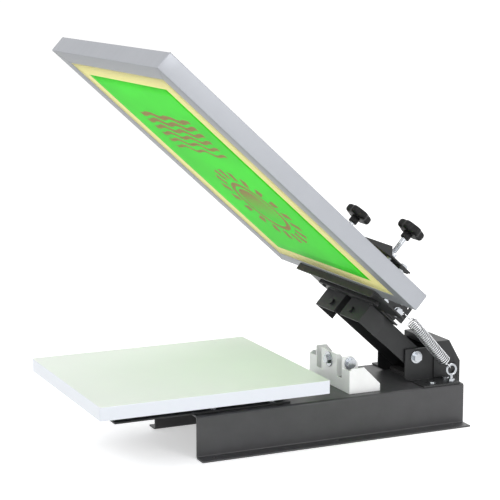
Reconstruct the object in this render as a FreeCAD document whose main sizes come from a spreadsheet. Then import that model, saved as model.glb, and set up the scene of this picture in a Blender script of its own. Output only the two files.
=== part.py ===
import FreeCAD, Part
import math
import os
import re

import Sketcher

# Tabletop screen printing press. X runs across, +Y to the lift springs, +Z up, all in millimetres.
# The origin is the middle of the bench bolt pattern, on the bench.
# Head pieces are drawn level, with y behind the screen's rear edge and z above its underside,
# and their placement tips them into the raised rest pose.

os.makedirs("parts", exist_ok=True)
doc = FreeCAD.newDocument("screen_press")
sheet = doc.addObject("Spreadsheet::Sheet", "Sizes")

SIZES = {
    # shared stock and fits
    "gauge": 3.0,
    "overrun": 6.0,
    "bolt_clearance": 0.25,
    "nut_clearance": 0.05,
    "running_clearance": 0.06,
    "side_play": 0.1,
    # quarter inch hardware
    "small_rad": 3.175,
    "small_flats": 11.1,
    "small_head": 4.2,
    "small_nut": 5.5,
    # three eighths hardware
    "large_rad": 4.7625,
    "large_flats": 14.3,
    "large_head": 6.4,
    "large_nut": 8.3,
    "washer_rad": 11.3,
    "washer_thick": 1.9,
    # sheet metal screws
    "tiny_rad": 2.0,
    "tiny_flats": 7.0,
    "tiny_head": 2.8,
    # base
    "base_half": 97.2,
    "base_height": 74.0,
    "base_long": 519.4,
    "flange_half": 122.2,
    "bend_outer": 5.0,
    "bend_inner": 2.0,
    "bench_hole_x": 109.7,
    "bench_hole_inset": 26.7,
    "bench_hole_rad": 3.5,
    # the base's own edges, from which the pieces on it are set out
    "set_out_height": 74.0,
    "set_out_half": 97.2,
    "set_out_rear": 259.7,
    "same_spot": 0.1,
    # platen
    "platen_half": 177.8,
    "platen_front": -457.5,
    "platen_rear": -51.1,
    "platen_under": 110.0,
    "platen_thick": 22.6,
    "platen_corner": 4.0,
    "platen_edge": 1.2,
    "bracket_half": 60.0,
    "bracket_foot_half": 85.0,
    "bracket_front": -400.0,
    "bracket_rear": -80.0,
    "platen_screw_x": 35.0,
    "platen_screw_front": -360.0,
    "platen_screw_rear": -120.0,
    "platen_screw_grip": 16.0,
    "bracket_bolt_x": 72.5,
    "bracket_bolt_front": -220.0,
    "bracket_bolt_rear": -110.0,
    "foot_bolt_long": 14.0,
    # registration gate
    "gate_front": 37.9,
    "gate_half": 78.0,
    "gate_side_top": 114.0,
    "gate_mid_half": 29.5,
    "gate_mid_top": 134.5,
    "gate_notch_z": 95.0,
    "ear_inner": 48.0,
    "ear_rear": 68.9,
    "ear_shoulder_y": 58.0,
    "ear_shoulder_z": 122.0,
    "mid_wing_rear": 58.0,
    "mid_wing_y": 45.0,
    "mid_wing_z": 118.0,
    "wing_rear": 98.9,
    "wing_rear_z": 87.0,
    "wing_top_y": 66.9,
    "wing_top_z": 119.0,
    "wing_front_y": 44.0,
    "gate_foot_in": 55.0,
    "gate_foot_front": 52.0,
    "gate_bolt_x": 65.0,
    "gate_bolt_y": 80.0,
    "stop_bolt_y": 52.9,
    "stop_bolt_z": 122.5,
    "stop_tip": 46.3,
    "centre_bolt_z": 120.5,
    "centre_washer_rad": 13.5,
    "centre_shank": 20.0,
    # pivot tower
    "tower_front": 164.9,
    "tower_relief_z": 81.0,
    "tower_foot_front": 177.9,
    "tower_foot_rear": 253.9,
    "tower_foot_out": 96.0,
    "tower_top": 135.0,
    "tower_step_y": 219.0,
    "lip_slot_front": 221.0,
    "lip_slot_rear": 228.0,
    "lip_slot_z": 131.0,
    "tower_rear": 273.0,
    "tower_rear_low": 80.0,
    "tower_rear_high": 104.5,
    "tower_crown_z": 141.0,
    "tower_crown_front": 230.0,
    "tower_crown_rear": 253.0,
    "tower_heel_y": 262.0,
    "tower_heel_z": 78.0,
    "pivot_y": 187.43,
    "pivot_z": 119.48,
    "tower_bolt_x": 85.5,
    "tower_bolt_y": 200.9,
    "tower_bolt_in_x": 66.0,
    "tower_bolt_in_y": 240.0,
    "spare_hole_x": 73.0,
    "spare_hole_y": 195.4,
    "hood_front": 222.9,
    "hood_lip_z": 133.0,
    "hood_top": 145.0,
    "hood_crown_y": 254.4,
    "hood_knee_y": 276.5,
    "hood_knee_z": 105.0,
    "hood_back": 277.5,
    "hood_low": 62.0,
    "hood_side_low": 78.0,
    "hood_side_end": 262.0,
    "hood_screw_y": 266.0,
    "hood_screw_high": 98.0,
    "hood_screw_low": 85.0,
    "hood_screw_long": 9.0,
    "bush_rad": 9.0,
    # eye bolts
    "eye_x": 85.5,
    "eye_y": 239.9,
    "eye_z": 99.0,
    "eye_ring_rad": 9.25,
    "eye_wire_rad": 2.25,
    "eye_stud_rad": 3.0,
    "eye_stud_end": 61.0,
    # rubber stop
    "stop_half": 47.0,
    "stop_front": 188.0,
    "stop_rear": 206.0,
    "stop_thick": 6.4,
    "stop_round": 2.0,
    # head placement and arm
    "head_y": 65.79,
    "head_z": 255.52,
    "head_tilt": 42.24,
    "pivot_along": 181.5,
    "pivot_below": -18.96,
    "arm_half": 46.0,
    "arm_front": 27.5,
    "arm_rear": 215.0,
    "arm_low": -41.0,
    "arm_top": -3.0,
    "arm_web_front": 58.0,
    "arm_rear_cut_y": 203.0,
    "arm_rear_cut_z": -16.0,
    "arm_flange_in": 30.0,
    "sleeve_rad": 8.0,
    "skirt_shank": 13.0,
    "deck_bolt_front": 66.0,
    "deck_shank": 15.0,
    "skirt_bolt_x": 36.5,
    "skirt_bolt_z": -32.7,
    "skirt_in": 11.0,
    "skirt_out": 82.0,
    "skirt_front": 24.5,
    "skirt_rear": 70.0,
    "skirt_low": -48.0,
    "skirt_top": -10.0,
    "skirt_slope": 12.0,
    "bar_half": 108.0,
    "bar_front": 13.0,
    "bar_rear": 24.2,
    "bar_low": -10.0,
    "bar_screw_x": 88.0,
    "bar_round": 5.0,
    "bed_half": 142.0,
    "bed_front": -21.0,
    "bed_step": 58.0,
    "bed_tail_half": 60.0,
    "bed_rear": 105.0,
    "bed_lip_low": -13.0,
    "bed_round": 4.0,
    "bracket_y_front": 40.0,
    "bracket_y_rear": 92.0,
    "bracket_top": 30.0,
    "bracket_out": 63.0,
    # cheeks and bridge
    "cheek_front": 4.0,
    "cheek_low": 4.0,
    "cheek_rear": 106.0,
    "cheek_rear_top": 36.0,
    "cheek_slope_y": 60.0,
    "cheek_top": 69.5,
    "cheek_out": 66.0,
    "cheek_bolt_y": 84.0,
    "cheek_bolt_z": 14.4,
    "cheek_screw_y": 51.0,
    "cheek_screw_z": 12.8,
    "hook_y": 96.6,
    "hook_z": 20.7,
    "hook_hole_rad": 2.6,
    "spare_one_y": 98.3,
    "spare_one_z": 33.0,
    "spare_two_y": 84.0,
    "spare_two_z": 30.0,
    "spare_rad": 1.8,
    "cheek_tab_out": 112.0,
    "cheek_tab_front": 7.0,
    "cheek_tab_rear": 28.0,
    "bridge_half": 112.0,
    "bridge_rear": 31.0,
    "bridge_bend_y": -19.0,
    "bridge_peak_y": -29.5,
    "bridge_peak_z": 84.5,
    "bridge_tip_y": -79.0,
    "bridge_tip_z": 65.0,
    "bridge_tip_low": 62.0,
    "bridge_peak_in": 80.5,
    "bridge_bolt_x": 104.0,
    "bridge_bolt_y": 17.0,
    "bridge_shank": 14.0,
    "cheek_washer_rad": 9.0,
    "cheek_shank": 20.0,
    "cheek_screw_shank": 14.0,
    "spindle_x": 95.5,
    "spindle_y": -11.5,
    # clamps
    "spindle_rad": 4.7,
    "pad_rad": 14.0,
    "pad_thick": 6.0,
    "pad_collar_rad": 8.5,
    "pad_collar": 3.0,
    "hub_low": 112.0,
    "hub_rad": 8.5,
    "knob_low": 124.0,
    "knob_thick": 16.0,
    "knob_rad": 19.0,
    "lobe_rad": 8.0,
    "lobe_ring": 17.5,
    "knob_edge": 2.0,
    # screen
    "screen_half": 254.0,
    "screen_long": 609.6,
    "screen_thick": 31.4,
    "rail_side": 36.0,
    "rail_front": 32.0,
    "rail_rear": 30.0,
    "rail_wall": 3.0,
    "screen_corner": 3.0,
    "mesh_low": 0.5,
    "mesh_thick": 0.4,
    "stencil_side": 75.8,
    "stencil_front": 59.2,
    "stencil_rear": 59.6,
    "stencil_thick": 0.2,
    # lift springs
    "coil_rad": 9.3,
    "coil_wire_rad": 1.2,
    "coil_start": 20.0,
    "coil_body": 98.0,
    "coil_curls": 26,
    "coil_run_in": 9.0,
    "hook_inside": 6.0,
    "hook_outside": 4.4,
    "hook_bend": 3.0,
    "hook_gap": 0.4,
    "hook_tail": 4.0,
}

for row, (name, value) in enumerate(SIZES.items(), start=1):
    sheet.set("A%d" % row, name)
    sheet.set("B%d" % row, str(value))
    sheet.setAlias("B%d" % row, name)
doc.recompute()

nodes = []

# Sizes that are set out from the base's top, sides and rear edge, and so follow them.
UPWARD = (
    "platen_under", "gate_side_top", "gate_mid_top", "gate_notch_z", "ear_shoulder_z",
    "mid_wing_z", "wing_rear_z", "wing_top_z", "stop_bolt_z", "centre_bolt_z", "tower_relief_z",
    "tower_top", "lip_slot_z", "tower_rear_low", "tower_rear_high", "tower_crown_z",
    "tower_heel_z", "pivot_z", "hood_lip_z", "hood_top", "hood_knee_z", "hood_low",
    "hood_side_low", "hood_screw_high", "hood_screw_low", "eye_z", "eye_stud_end", "head_z",
)
OUTWARD = ("flange_half", "bench_hole_x", "tower_foot_out", "tower_bolt_x", "eye_x")
REARWARD = (
    "platen_front", "platen_rear", "bracket_front", "bracket_rear", "platen_screw_front",
    "platen_screw_rear", "bracket_bolt_front", "bracket_bolt_rear", "gate_front", "ear_rear",
    "ear_shoulder_y", "mid_wing_rear", "mid_wing_y", "wing_rear", "wing_top_y", "wing_front_y",
    "gate_foot_front", "gate_bolt_y", "stop_bolt_y", "tower_front",
    "tower_foot_front", "tower_foot_rear", "tower_step_y", "lip_slot_front", "lip_slot_rear",
    "tower_rear", "tower_crown_front", "tower_crown_rear", "tower_heel_y", "pivot_y",
    "tower_bolt_y", "tower_bolt_in_y", "spare_hole_y", "hood_front", "hood_crown_y",
    "hood_knee_y", "hood_back", "hood_side_end", "hood_screw_y", "eye_y", "stop_front",
    "stop_rear", "head_y",
)


def ref(rule):
    """Turn a rule written with size names into an expression on the sheet."""
    return re.sub(r"[a-z][a-z_]+", named_cell, rule)


def named_cell(word):
    """Point one word of a rule at its cell, and leave functions and units alone."""
    name = word.group(0)
    if name not in SIZES:
        return name
    if name in UPWARD:
        return "(Sizes.%s + Sizes.base_height - Sizes.set_out_height)" % name
    if name in OUTWARD:
        return "(Sizes.%s + Sizes.base_half - Sizes.set_out_half)" % name
    if name in REARWARD:
        return "(Sizes.%s + Sizes.base_long / 2 - Sizes.set_out_rear)" % name
    return "Sizes." + name


def size(name):
    """Give one size in Python, set out from the base as its cell is."""
    value = SIZES[name]
    if name in UPWARD:
        value += SIZES["base_height"] - SIZES["set_out_height"]
    if name in OUTWARD:
        value += SIZES["base_half"] - SIZES["set_out_half"]
    if name in REARWARD:
        value += SIZES["base_long"] / 2 - SIZES["set_out_rear"]
    return value


SAME_SPOT = size("same_spot")


def bind(item, **rules):
    """Bind properties to the sheet; a double underscore in a name stands for a dot."""
    for name, rule in rules.items():
        item.setExpression(name.replace("__", "."), ref(rule))


def keep(item, label, head=False):
    """Name an object as a sub-part, and tip it with the head where it belongs to the head."""
    item.Label = label
    if head:
        item.Placement = FreeCAD.Placement(FreeCAD.Vector(), FreeCAD.Rotation(FreeCAD.Vector(-1, 0, 0), 40))
        bind(item, Placement__Base__y="head_y", Placement__Base__z="head_z")
        bind(item, Placement__Rotation__Angle="head_tilt")
    nodes.append(item)
    return item


def sketch_on(body, plane, offset, corners=(), circles=()):
    """Draw closed outlines and circles on an origin plane, every point bound to the sheet."""
    drawing = body.newObject("Sketcher::SketchObject", "Sketch")
    side = [item for item in body.Origin.OriginFeatures if item.Role == plane + "_Plane"][0]
    drawing.AttachmentSupport = [(side, "")]
    drawing.MapMode = "FlatFace"
    bind(drawing, AttachmentOffset__Base__z=offset)
    outlines = corners if corners and isinstance(corners[0][0], (list, tuple)) else [corners]
    for outline in outlines:
        count = len(outline)
        first = drawing.GeometryCount
        spots = []
        for index in range(count):
            turn = 2 * math.pi * index / count
            spots.append(FreeCAD.Vector(math.cos(turn), math.sin(turn), 0))
        for index in range(count):
            drawing.addGeometry(Part.LineSegment(spots[index], spots[(index + 1) % count]), False)
        for index in range(count):
            after = first + (index + 1) % count
            drawing.addConstraint(Sketcher.Constraint("Coincident", first + index, 2, after, 1))
        for index, (across, up) in enumerate(outline):
            pin(drawing, first + index, 1, spots[index], across, up)
    for across, up, radius in circles:
        line = drawing.GeometryCount
        middle = FreeCAD.Vector(1, 1, 0)
        drawing.addGeometry(Part.Circle(middle, FreeCAD.Vector(0, 0, 1), 1), False)
        pin(drawing, line, 3, middle, across, up)
        spot = drawing.addConstraint(Sketcher.Constraint("Radius", line, 1))
        drawing.setExpression("Constraints[%d]" % spot, ref(radius))
    return drawing


def pin(drawing, line, end, spot, across, up):
    """Hold one point of a sketch at two distances from the origin."""
    level = drawing.addConstraint(Sketcher.Constraint("DistanceX", -1, 1, line, end, spot.x))
    drawing.setExpression("Constraints[%d]" % level, ref(across))
    plumb = drawing.addConstraint(Sketcher.Constraint("DistanceY", -1, 1, line, end, spot.y))
    drawing.setExpression("Constraints[%d]" % plumb, ref(up))


def add(body, plane, offset, thick, corners, circles=()):
    """Pad an outline along its plane's normal, from an offset."""
    pad = body.newObject("PartDesign::Pad", "Pad")
    pad.Profile = sketch_on(body, plane, offset, corners, circles)
    bind(pad, Length=thick)
    return pad


def cut(body, plane, offset, deep, corners=(), circles=()):
    """Pocket an outline along its plane's normal, from an offset."""
    pocket = body.newObject("PartDesign::Pocket", "Pocket")
    pocket.Profile = sketch_on(body, plane, offset, corners, circles)
    pocket.Reversed = True
    bind(pocket, Length=deep)
    return pocket


def round_off(body, radius, chosen):
    """Fillet the edges of a body's last feature that a test picks."""
    doc.recompute()
    last = body.Tip
    picked = ["Edge%d" % (index + 1) for index, edge in enumerate(last.Shape.Edges) if chosen(edge)]
    fillet = body.newObject("PartDesign::Fillet", "Fillet")
    fillet.Base = (last, picked)
    bind(fillet, Radius=radius)
    return fillet


def new_body(label, head=False):
    """Start a body that is one sub-part."""
    body = doc.addObject("PartDesign::Body", label)
    return keep(body, label, head)


def box(left, right, low, high):
    """Give the four corners of a rectangle."""
    return [(left, low), (right, low), (right, high), (left, high)]


def along(edge, direction):
    """Say whether a straight edge runs along an axis."""
    if edge.Curve.TypeId != "Part::GeomLine":
        return False
    run = edge.Vertexes[-1].Point - edge.Vertexes[0].Point
    return abs(run.normalize().dot(FreeCAD.Vector(*direction))) > 0.999


TURNS = {
    "+x": FreeCAD.Rotation(FreeCAD.Vector(0, 1, 0), 90),
    "-x": FreeCAD.Rotation(FreeCAD.Vector(0, 1, 0), -90),
    "+y": FreeCAD.Rotation(FreeCAD.Vector(1, 0, 0), -90),
    "-y": FreeCAD.Rotation(FreeCAD.Vector(1, 0, 0), 90),
    "+z": FreeCAD.Rotation(),
    "-z": FreeCAD.Rotation(FreeCAD.Vector(1, 0, 0), 180),
}


def stand(kind, spot, axis, start, **rules):
    """Stand a primitive on a spot, facing an axis, starting at a distance along it."""
    item = doc.addObject("Part::" + kind, kind)
    item.Placement = FreeCAD.Placement(FreeCAD.Vector(), TURNS[axis])
    for letter, rule in zip("xyz", spot):
        if letter == axis[1]:
            rule = "%s %s (%s)" % (rule, axis[0], start)
        item.setExpression("Placement.Base." + letter, ref(rule))
    bind(item, **rules)
    return item


def rod(spot, axis, start, radius, tall):
    """Make a round bar."""
    return stand("Cylinder", spot, axis, start, Radius=radius, Height=tall)


def hexagon(spot, axis, start, flats, tall):
    """Make a hexagon bar from its size across flats."""
    item = stand("Prism", spot, axis, start, Circumradius=flats + " / 3 ^ 0.5", Height=tall)
    item.Polygon = 6
    return item


def joined(pieces):
    """Join solids into one object."""
    item = doc.addObject("Part::MultiFuse", "Joined")
    item.Shapes = pieces
    return item


def grouped(label, pieces, head=False):
    """Keep like pieces, such as a set of bolts, as one sub-part."""
    if len(pieces) == 1:
        return keep(pieces[0], label, head)
    item = doc.addObject("Part::Compound", label)
    item.Links = pieces
    return keep(item, label, head)


def bolt(spot, axis, size, shank):
    """Make a hexagon bolt whose head stands along the axis and whose shank runs back."""
    head = hexagon(spot, axis, "0", size + "_flats", size + "_head")
    stem = rod(spot, axis, "0 - (%s)" % shank, size + "_rad", shank)
    return joined([head, stem])


def ring(spot, axis, start, outer, inner, tall):
    """Make a washer, bush or sleeve."""
    item = doc.addObject("Part::Cut", "Ring")
    item.Base = rod(spot, axis, start, outer, tall)
    item.Tool = rod(spot, axis, start, inner, tall)
    return item


def nut(spot, axis, start, size):
    """Make a hexagon nut."""
    item = doc.addObject("Part::Cut", "Nut")
    item.Base = hexagon(spot, axis, start, size + "_flats", size + "_nut")
    item.Tool = rod(spot, axis, start, size + "_rad + nut_clearance", size + "_nut")
    return item


def pairs(across, *rest):
    """Give a spot on the right and its mirror on the left."""
    return [(across,) + rest, ("0 - (%s)" % across,) + rest]


def base_channel():
    """Bent hat channel that the press stands on, with its bench holes."""
    body = new_body("base_channel")
    wall = "base_half - gauge"
    under = "base_height - gauge"
    outline = [
        ("flange_half", "0"), ("flange_half", "gauge"), ("base_half", "gauge"),
        ("base_half", "base_height"), ("0 - base_half", "base_height"), ("0 - base_half", "gauge"),
        ("0 - flange_half", "gauge"), ("0 - flange_half", "0"), ("0 - (%s)" % wall, "0"),
        ("0 - (%s)" % wall, under), (wall, under), (wall, "0"),
    ]
    add(body, "XZ", "0 - base_long / 2", "base_long", outline)
    upper = size("base_height") - size("gauge")
    half = size("base_half")

    def outer_bend(edge):
        point = edge.CenterOfMass
        at_top = abs(point.z - size("base_height")) < SAME_SPOT and abs(abs(point.x) - half) < SAME_SPOT
        at_foot = abs(point.z) < SAME_SPOT and abs(abs(point.x) - half + size("gauge")) < SAME_SPOT
        return along(edge, (0, 1, 0)) and (at_top or at_foot)

    def inner_bend(edge):
        point = edge.CenterOfMass
        at_top = abs(point.z - upper) < SAME_SPOT
        at_foot = abs(point.z - size("gauge")) < SAME_SPOT and abs(abs(point.x) - half) < SAME_SPOT
        return along(edge, (0, 1, 0)) and (at_top or at_foot)

    round_off(body, "bend_outer", outer_bend)
    round_off(body, "bend_inner", inner_bend)
    bench = []
    for across in ("bench_hole_x", "0 - bench_hole_x"):
        for deep in ("base_long / 2 - bench_hole_inset", "0", "bench_hole_inset - base_long / 2"):
            bench.append((across, deep, "bench_hole_rad"))
    cut(body, "XY", "0 - overrun", "gauge + 2 * overrun", circles=bench)
    holes = []
    small = "small_rad + bolt_clearance"
    spots = [
        ("bracket_bolt_x", "bracket_bolt_front"), ("bracket_bolt_x", "bracket_bolt_rear"),
        ("gate_bolt_x", "gate_bolt_y"), ("tower_bolt_x", "tower_bolt_y"),
        ("tower_bolt_in_x", "tower_bolt_in_y"), ("eye_x", "eye_y"),
    ]
    for across, deep in spots:
        holes.append((across, deep, small))
        holes.append(("0 - " + across, deep, small))
    cut(body, "XY", "base_height - gauge - overrun", "gauge + 2 * overrun", circles=holes)


def platen_board():
    """Laminated board that the garment lies on, with blind screw holes underneath."""
    body = new_body("platen_board")
    corners = box("0 - platen_half", "platen_half", "platen_front", "platen_rear")
    add(body, "XY", "platen_under", "platen_thick", corners)
    round_off(body, "platen_corner", lambda edge: along(edge, (0, 0, 1)))
    top = size("platen_under") + size("platen_thick")
    round_off(body, "platen_edge", lambda edge: abs(edge.BoundBox.ZMin - top) < SAME_SPOT)
    holes = [(across, deep, "small_rad + nut_clearance") for across, deep in platen_screw_spots()]
    cut(body, "XY", "platen_under - overrun", "platen_screw_grip - gauge + overrun", circles=holes)


def platen_screw_spots():
    """Give the four screw places under the board."""
    spots = pairs("platen_screw_x", "platen_screw_front")
    return spots + pairs("platen_screw_x", "platen_screw_rear")


def bracket_bolt_spots():
    """Give the four bolt places in the platen bracket's feet."""
    return pairs("bracket_bolt_x", "bracket_bolt_front") + pairs("bracket_bolt_x", "bracket_bolt_rear")


def tower_bolt_spots():
    """Give the four bolt places in the tower's feet."""
    return pairs("tower_bolt_x", "tower_bolt_y") + pairs("tower_bolt_in_x", "tower_bolt_in_y")


def foot_bolts(spots):
    """Make the bolts that hold a foot down on the base."""
    face = "base_height + gauge"
    return [bolt((across, deep, face), "+z", "small", "foot_bolt_long") for across, deep in spots]


def base_nuts():
    """Nuts under the base for every foot bolt."""
    spots = bracket_bolt_spots() + pairs("gate_bolt_x", "gate_bolt_y") + tower_bolt_spots()
    face = "base_height - gauge"
    grouped("base_nuts", [nut((across, deep, face), "-z", "0", "small") for across, deep in spots])


def platen_bracket():
    """Bent channel that carries the board out in front of the base."""
    body = new_body("platen_bracket")
    foot = "base_height + gauge"
    under = "platen_under - gauge"
    wall = "bracket_half - gauge"
    outline = [
        ("bracket_foot_half", "base_height"), ("bracket_foot_half", foot), ("bracket_half", foot),
        ("bracket_half", "platen_under"), ("0 - bracket_half", "platen_under"), ("0 - bracket_half", foot),
        ("0 - bracket_foot_half", foot), ("0 - bracket_foot_half", "base_height"),
        ("0 - (%s)" % wall, "base_height"), ("0 - (%s)" % wall, under), (wall, under),
        (wall, "base_height"),
    ]
    add(body, "XZ", "0 - bracket_rear", "bracket_rear - bracket_front", outline)
    small = "small_rad + bolt_clearance"
    screws = [(across, deep, small) for across, deep in platen_screw_spots()]
    cut(body, "XY", "platen_under - gauge - overrun", "gauge + 2 * overrun", circles=screws)
    feet = [(across, deep, small) for across, deep in bracket_bolt_spots()]
    cut(body, "XY", "base_height - overrun", "gauge + 2 * overrun", circles=feet)


def platen_fasteners():
    """Screws up into the board, and the bolts of the bracket's feet."""
    screws = []
    for across, deep in platen_screw_spots():
        screws.append(bolt((across, deep, "platen_under - gauge"), "-z", "small", "platen_screw_grip"))
    grouped("platen_screws", screws)
    grouped("platen_bracket_bolts", foot_bolts(bracket_bolt_spots()))


def registration_gate():
    """Bent sheet gate that the arm drops into, with ears for its side bolts."""
    body = new_body("registration_gate")
    front = [
        ("0 - gate_half", "base_height"), ("gate_half", "base_height"), ("gate_half", "gate_side_top"),
        ("ear_inner", "gate_side_top"), ("ear_inner", "gate_notch_z"), ("gate_mid_half", "gate_notch_z"),
        ("gate_mid_half", "gate_mid_top"), ("0 - gate_mid_half", "gate_mid_top"),
        ("0 - gate_mid_half", "gate_notch_z"), ("0 - ear_inner", "gate_notch_z"),
        ("0 - ear_inner", "gate_side_top"), ("0 - gate_half", "gate_side_top"),
    ]
    middle = [("0", "centre_bolt_z", "large_rad + bolt_clearance")]
    add(body, "XZ", "0 - gate_front - gauge", "gauge", front, middle)
    wing = [
        ("gate_front", "base_height"), ("wing_rear", "base_height"), ("wing_rear", "wing_rear_z"),
        ("wing_top_y", "wing_top_z"), ("wing_front_y", "wing_top_z"), ("gate_front", "gate_side_top"),
    ]
    ear = [
        ("gate_front", "gate_notch_z"), ("ear_rear", "gate_notch_z"), ("ear_rear", "ear_shoulder_z"),
        ("ear_shoulder_y", "gate_mid_top"), ("gate_front", "gate_mid_top"),
    ]
    stop = [("stop_bolt_y", "stop_bolt_z", "large_rad + bolt_clearance")]
    inner = [
        ("gate_front", "gate_notch_z"), ("mid_wing_rear", "gate_notch_z"),
        ("mid_wing_rear", "mid_wing_z"), ("mid_wing_y", "gate_mid_top"), ("gate_front", "gate_mid_top"),
    ]
    for near, corners, circles in (
        ("gate_half - gauge", wing, ()), ("ear_inner", ear, stop), ("gate_mid_half - gauge", inner, ()),
    ):
        add(body, "YZ", near, "gauge", corners, circles)
        add(body, "YZ", "0 - (%s) - gauge" % near, "gauge", corners, circles)
    hole = "small_rad + bolt_clearance"
    right = box("gate_foot_in", "gate_half", "gate_foot_front", "wing_rear")
    left = box("0 - gate_half", "0 - gate_foot_in", "gate_foot_front", "wing_rear")
    add(body, "XY", "base_height", "gauge", right, [("gate_bolt_x", "gate_bolt_y", hole)])
    add(body, "XY", "base_height", "gauge", left, [("0 - gate_bolt_x", "gate_bolt_y", hole)])


def gate_fasteners():
    """Foot bolts, the side bolts that centre the arm, and the centre bolt with its nut."""
    grouped("gate_foot_bolts", foot_bolts(pairs("gate_bolt_x", "gate_bolt_y")))
    sides = []
    washers = []
    spot = ("0", "stop_bolt_y", "stop_bolt_z")
    face = "ear_inner + gauge"
    for axis in ("+x", "-x"):
        head = hexagon(spot, axis, face + " + washer_thick", "large_flats", "large_head")
        stem = rod(spot, axis, "stop_tip", "large_rad", face + " + washer_thick - stop_tip")
        sides.append(joined([head, stem]))
        washers.append(ring(spot, axis, face, "washer_rad", "large_rad + bolt_clearance", "washer_thick"))
    grouped("gate_side_bolts", sides)
    front = ("0", "gate_front", "centre_bolt_z")
    inner = "large_rad + bolt_clearance"
    washers.append(ring(front, "-y", "0", "centre_washer_rad", inner, "washer_thick"))
    grouped("gate_washers", washers)
    head = hexagon(front, "-y", "washer_thick", "large_flats", "large_head")
    stem = rod(front, "-y", "washer_thick - centre_shank", "large_rad", "centre_shank")
    grouped("gate_centre_bolt", [joined([head, stem])])
    back = ("0", "gate_front + gauge", "centre_bolt_z")
    grouped("gate_centre_nut", [nut(back, "+y", "0", "large")])


def pivot_bracket(label, near, sign):
    """Bent ear plate with a foot, one on each side of the arm."""
    body = new_body(label)
    ear = [
        ("tower_front", "tower_relief_z"), ("tower_foot_front", "base_height"),
        ("tower_foot_rear", "base_height"), ("tower_heel_y", "tower_heel_z"),
        ("tower_rear", "tower_rear_low"), ("tower_rear", "tower_rear_high"),
        ("tower_crown_rear", "tower_crown_z"), ("tower_crown_front", "tower_crown_z"),
        ("lip_slot_rear", "lip_slot_z"), ("lip_slot_front", "lip_slot_z"),
        ("tower_step_y", "tower_top"), ("tower_front", "tower_top"),
    ]
    holes = [
        ("pivot_y", "pivot_z", "large_rad + bolt_clearance"),
        ("hood_screw_y", "hood_screw_high", "tiny_rad + nut_clearance"),
        ("hood_screw_y", "hood_screw_low", "tiny_rad + nut_clearance"),
    ]
    add(body, "YZ", near, "gauge", ear, holes)
    inner = "%s ear_inner" % sign
    outer = "%s tower_foot_out" % sign
    edges = (inner, outer) if sign == "0 +" else (outer, inner)
    small = "small_rad + bolt_clearance"
    circles = [
        ("%s tower_bolt_x" % sign, "tower_bolt_y", small),
        ("%s tower_bolt_in_x" % sign, "tower_bolt_in_y", small),
        ("%s spare_hole_x" % sign, "spare_hole_y", "small_rad"),
        ("%s eye_x" % sign, "eye_y", small),
    ]
    foot = box(edges[0], edges[1], "tower_foot_front", "tower_foot_rear")
    add(body, "XY", "base_height", "gauge", foot, circles)


def tower_hood():
    """Folded cover over the rear of the tower."""
    body = new_body("tower_hood")
    half = "ear_inner + 2 * gauge"
    outer = [
        ("hood_front", "hood_lip_z"), ("hood_side_end", "hood_side_low"), ("hood_back", "hood_low"),
        ("hood_back", "hood_knee_z"), ("hood_crown_y", "hood_top"), ("hood_front", "hood_top"),
    ]
    side = [
        ("hood_front", "hood_side_low"), ("hood_side_end", "hood_side_low"),
        ("hood_back - gauge", "hood_low"), ("hood_back", "hood_low"), ("hood_back", "hood_knee_z"),
        ("hood_crown_y", "hood_top"), ("hood_front", "hood_top"),
    ]
    add(body, "YZ", "0 - (%s)" % half, "2 * (%s)" % half, side)
    void = [
        ("hood_front + gauge", "hood_low - overrun"), ("hood_back - gauge", "hood_low - overrun"),
        ("hood_back - gauge", "hood_knee_z - gauge / 2"), ("hood_crown_y - gauge / 2", "hood_top - gauge"),
        ("hood_front + gauge", "hood_top - gauge"),
    ]
    cut(body, "YZ", "0 - ear_inner - gauge", "2 * (ear_inner + gauge)", void)
    mouth = box("hood_front - overrun", "hood_front + gauge + overrun", "hood_low", "hood_lip_z")
    cut(body, "YZ", "0 - ear_inner - gauge", "2 * (ear_inner + gauge)", mouth)
    clear = "tiny_rad + bolt_clearance"
    holes = [("hood_screw_y", "hood_screw_high", clear), ("hood_screw_y", "hood_screw_low", clear)]
    cut(body, "YZ", "0 - (%s) - overrun" % half, "2 * (%s) + 2 * overrun" % half, circles=holes)


def tower_fasteners():
    """Hood screws, foot bolts, and the pivot bolt with its washers, nut and bushes."""
    screws = []
    for level in ("hood_screw_high", "hood_screw_low"):
        for axis in ("+x", "-x"):
            spot = ("0", "hood_screw_y", level)
            head = hexagon(spot, axis, "ear_inner + 2 * gauge", "tiny_flats", "tiny_head")
            stem = rod(spot, axis, "ear_inner + 2 * gauge - hood_screw_long", "tiny_rad", "hood_screw_long")
            screws.append(joined([head, stem]))
    grouped("hood_screws", screws)
    grouped("tower_foot_bolts", foot_bolts(tower_bolt_spots()))
    spot = ("0", "pivot_y", "pivot_z")
    face = "ear_inner + gauge"
    head = hexagon(spot, "+x", face + " + washer_thick", "large_flats", "large_head")
    reach = "2 * (%s + washer_thick) + large_nut + gauge" % face
    stem = rod(spot, "+x", "%s + washer_thick - (%s)" % (face, reach), "large_rad", reach)
    grouped("pivot_bolt", [joined([head, stem])])
    inner = "large_rad + bolt_clearance"
    washers = [ring(spot, axis, face, "washer_rad", inner, "washer_thick") for axis in ("+x", "-x")]
    grouped("pivot_washers", washers)
    grouped("pivot_nut", [nut(spot, "-x", face + " + washer_thick", "large")])
    start = "arm_half + side_play"
    bushes = []
    for axis in ("+x", "-x"):
        bushes.append(ring(spot, axis, start, "bush_rad", inner, "ear_inner - arm_half - side_play"))
    grouped("pivot_bushes", bushes)


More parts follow.
